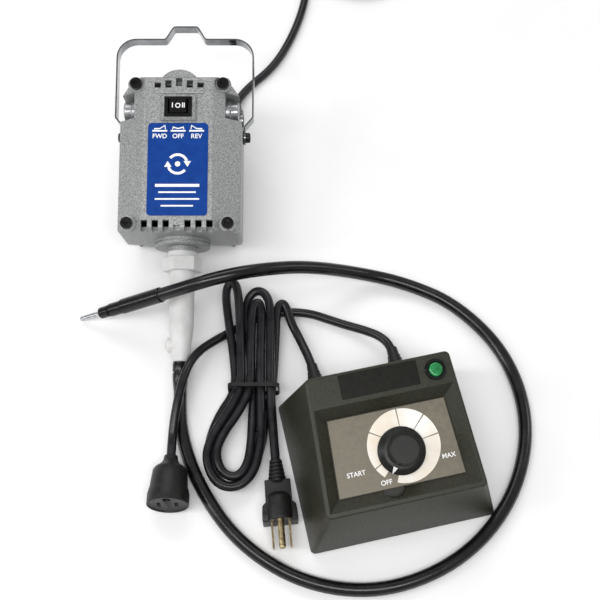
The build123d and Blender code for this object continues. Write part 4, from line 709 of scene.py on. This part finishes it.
# Dipped epoxy: glossy rust-brown, softly uneven.
dipped, shader = new_material("dipped_epoxy", roughness=0.25)
grain(dipped, shader, 4.0, ("#8c3a12", "#a2481a"), bump=0.05)
finish_nodes(dipped, "film_capacitor")

# ---------------------------------------------------------------- dial face
# An anodised plate in warm taupe, screen-printed: a white scale ring cut by dark lines, and the
# words START, OFF and MAX.
DIAL_UP = -Vector(joints["dial_turn"]["axis"])
DIAL_ACROSS = Vector((DIAL_UP.y, -DIAL_UP.x, 0)) * -1
dial = frame_at(Vector(joints["dial_turn"]["pos_m"]), DIAL_ACROSS, DIAL_UP)
# the scale's outer circle is off the dial's centre, so that the ring widens from START to MAX
scale = dial @ Matrix.Translation((0.0026, 0.0032, 0))
RING_OUTER = 0.0256
RING_INNER = 0.0100
# Anodised aluminium sheet: satin taupe, with the faintest grain.
taupe, shader = new_material("anodised_taupe", metallic=0.2, roughness=0.42)
grain(taupe, shader, 2.0, ("#6b6457", "#777061"), bump=0.01, rough=(0.38, 0.5))
finish_nodes(taupe, "dial_plate")
# Aged screen ink: cream white.
cream, shader = new_material("cream_ink", roughness=0.5, specular_ior_level=0.3)
grain(cream, shader, 14, ("#efe2cf", "#fdfbf6"), rough=(0.45, 0.6))
SECTORS = ((-113, -35), (-35, 7), (9, 44), (46, 89), (91, 147), (149, 206), (208, 226))
for index, (start, end) in enumerate(SECTORS):
    outline = ring_points(RING_OUTER, start, end, 30) + ring_points(RING_INNER, end, start, 24)
    plate(f"scale_ring_{index}", outline, INK_THICK, scale, cream)
DIAL_WORDS = (("START", 0.0045, -0.0340, -0.0092), ("OFF", 0.0046, -0.0148, -0.0190),
              ("MAX", 0.0045, 0.0316, -0.0098))
for word, size, across, along in DIAL_WORDS:
    spot = dial @ Matrix.Translation((across, along, INK_THICK))
    letter("dial_" + word.lower(), word, size, spot, ink)

# ---------------------------------------------------------------- name plate, knob and lamp
# A blank name plate sits in its recess. The knob is moulded phenolic with a white-filled pointer,
# and turns on the dial. The pilot lamp has a clear green lens in a black bezel.
# Printed plate: flat black with a low sheen.
plate_black, shader = new_material("printed_black_plate", roughness=0.4, specular_ior_level=0.2)
grain(plate_black, shader, 2.0, ("#0e0d09", "#17160f"), bump=0.01, rough=(0.35, 0.5))
finish_nodes(plate_black, "name_plate")
# Moulded phenolic: hard and nearly black, with a dull, even polish.
phenolic, shader = new_material("moulded_phenolic", roughness=0.4, specular_ior_level=0.35)
grain(phenolic, shader, 1.2, ("#121311", "#20211e"), bump=0.03, rough=(0.32, 0.46))
finish_nodes(phenolic, "speed_knob")
OFF_ANGLE = radians(235)
KNOB_LOW = 0.0006
SKIRT_SLOPE = radians(39)
POINTER_FROM_AXIS = 0.0128
POINTER_RISE = 0.0045
# a wedge, wide at the knob's cap and narrow at its skirt's edge
pointer = [(-0.0006, -0.0016), (0.0050, -0.0002), (0.0050, 0.0002), (-0.0006, 0.0016)]
lean = Matrix.Translation((POINTER_FROM_AXIS, 0, KNOB_LOW + POINTER_RISE)) @ Matrix.Rotation(SKIRT_SLOPE, 4, "Y")
spot = dial @ Matrix.Rotation(OFF_ANGLE, 4, "Z") @ lean
plate("knob_pointer", pointer, 0.0005, spot, ink, "speed_dial")
# Green acrylic: clear and glossy. Painted light and shade: its colour is mottled light and dark green in place
# of the play of light on its moulded facets.
lens_green, shader = new_material("green_acrylic", roughness=0.12, specular_ior_level=0.6, coat_weight=0.6)
grain(lens_green, shader, 3.0, ("#0a5a2c", "#159a50"), bump=0.3, rough=(0.08, 0.2))
finish_nodes(lens_green, "lamp_lens")
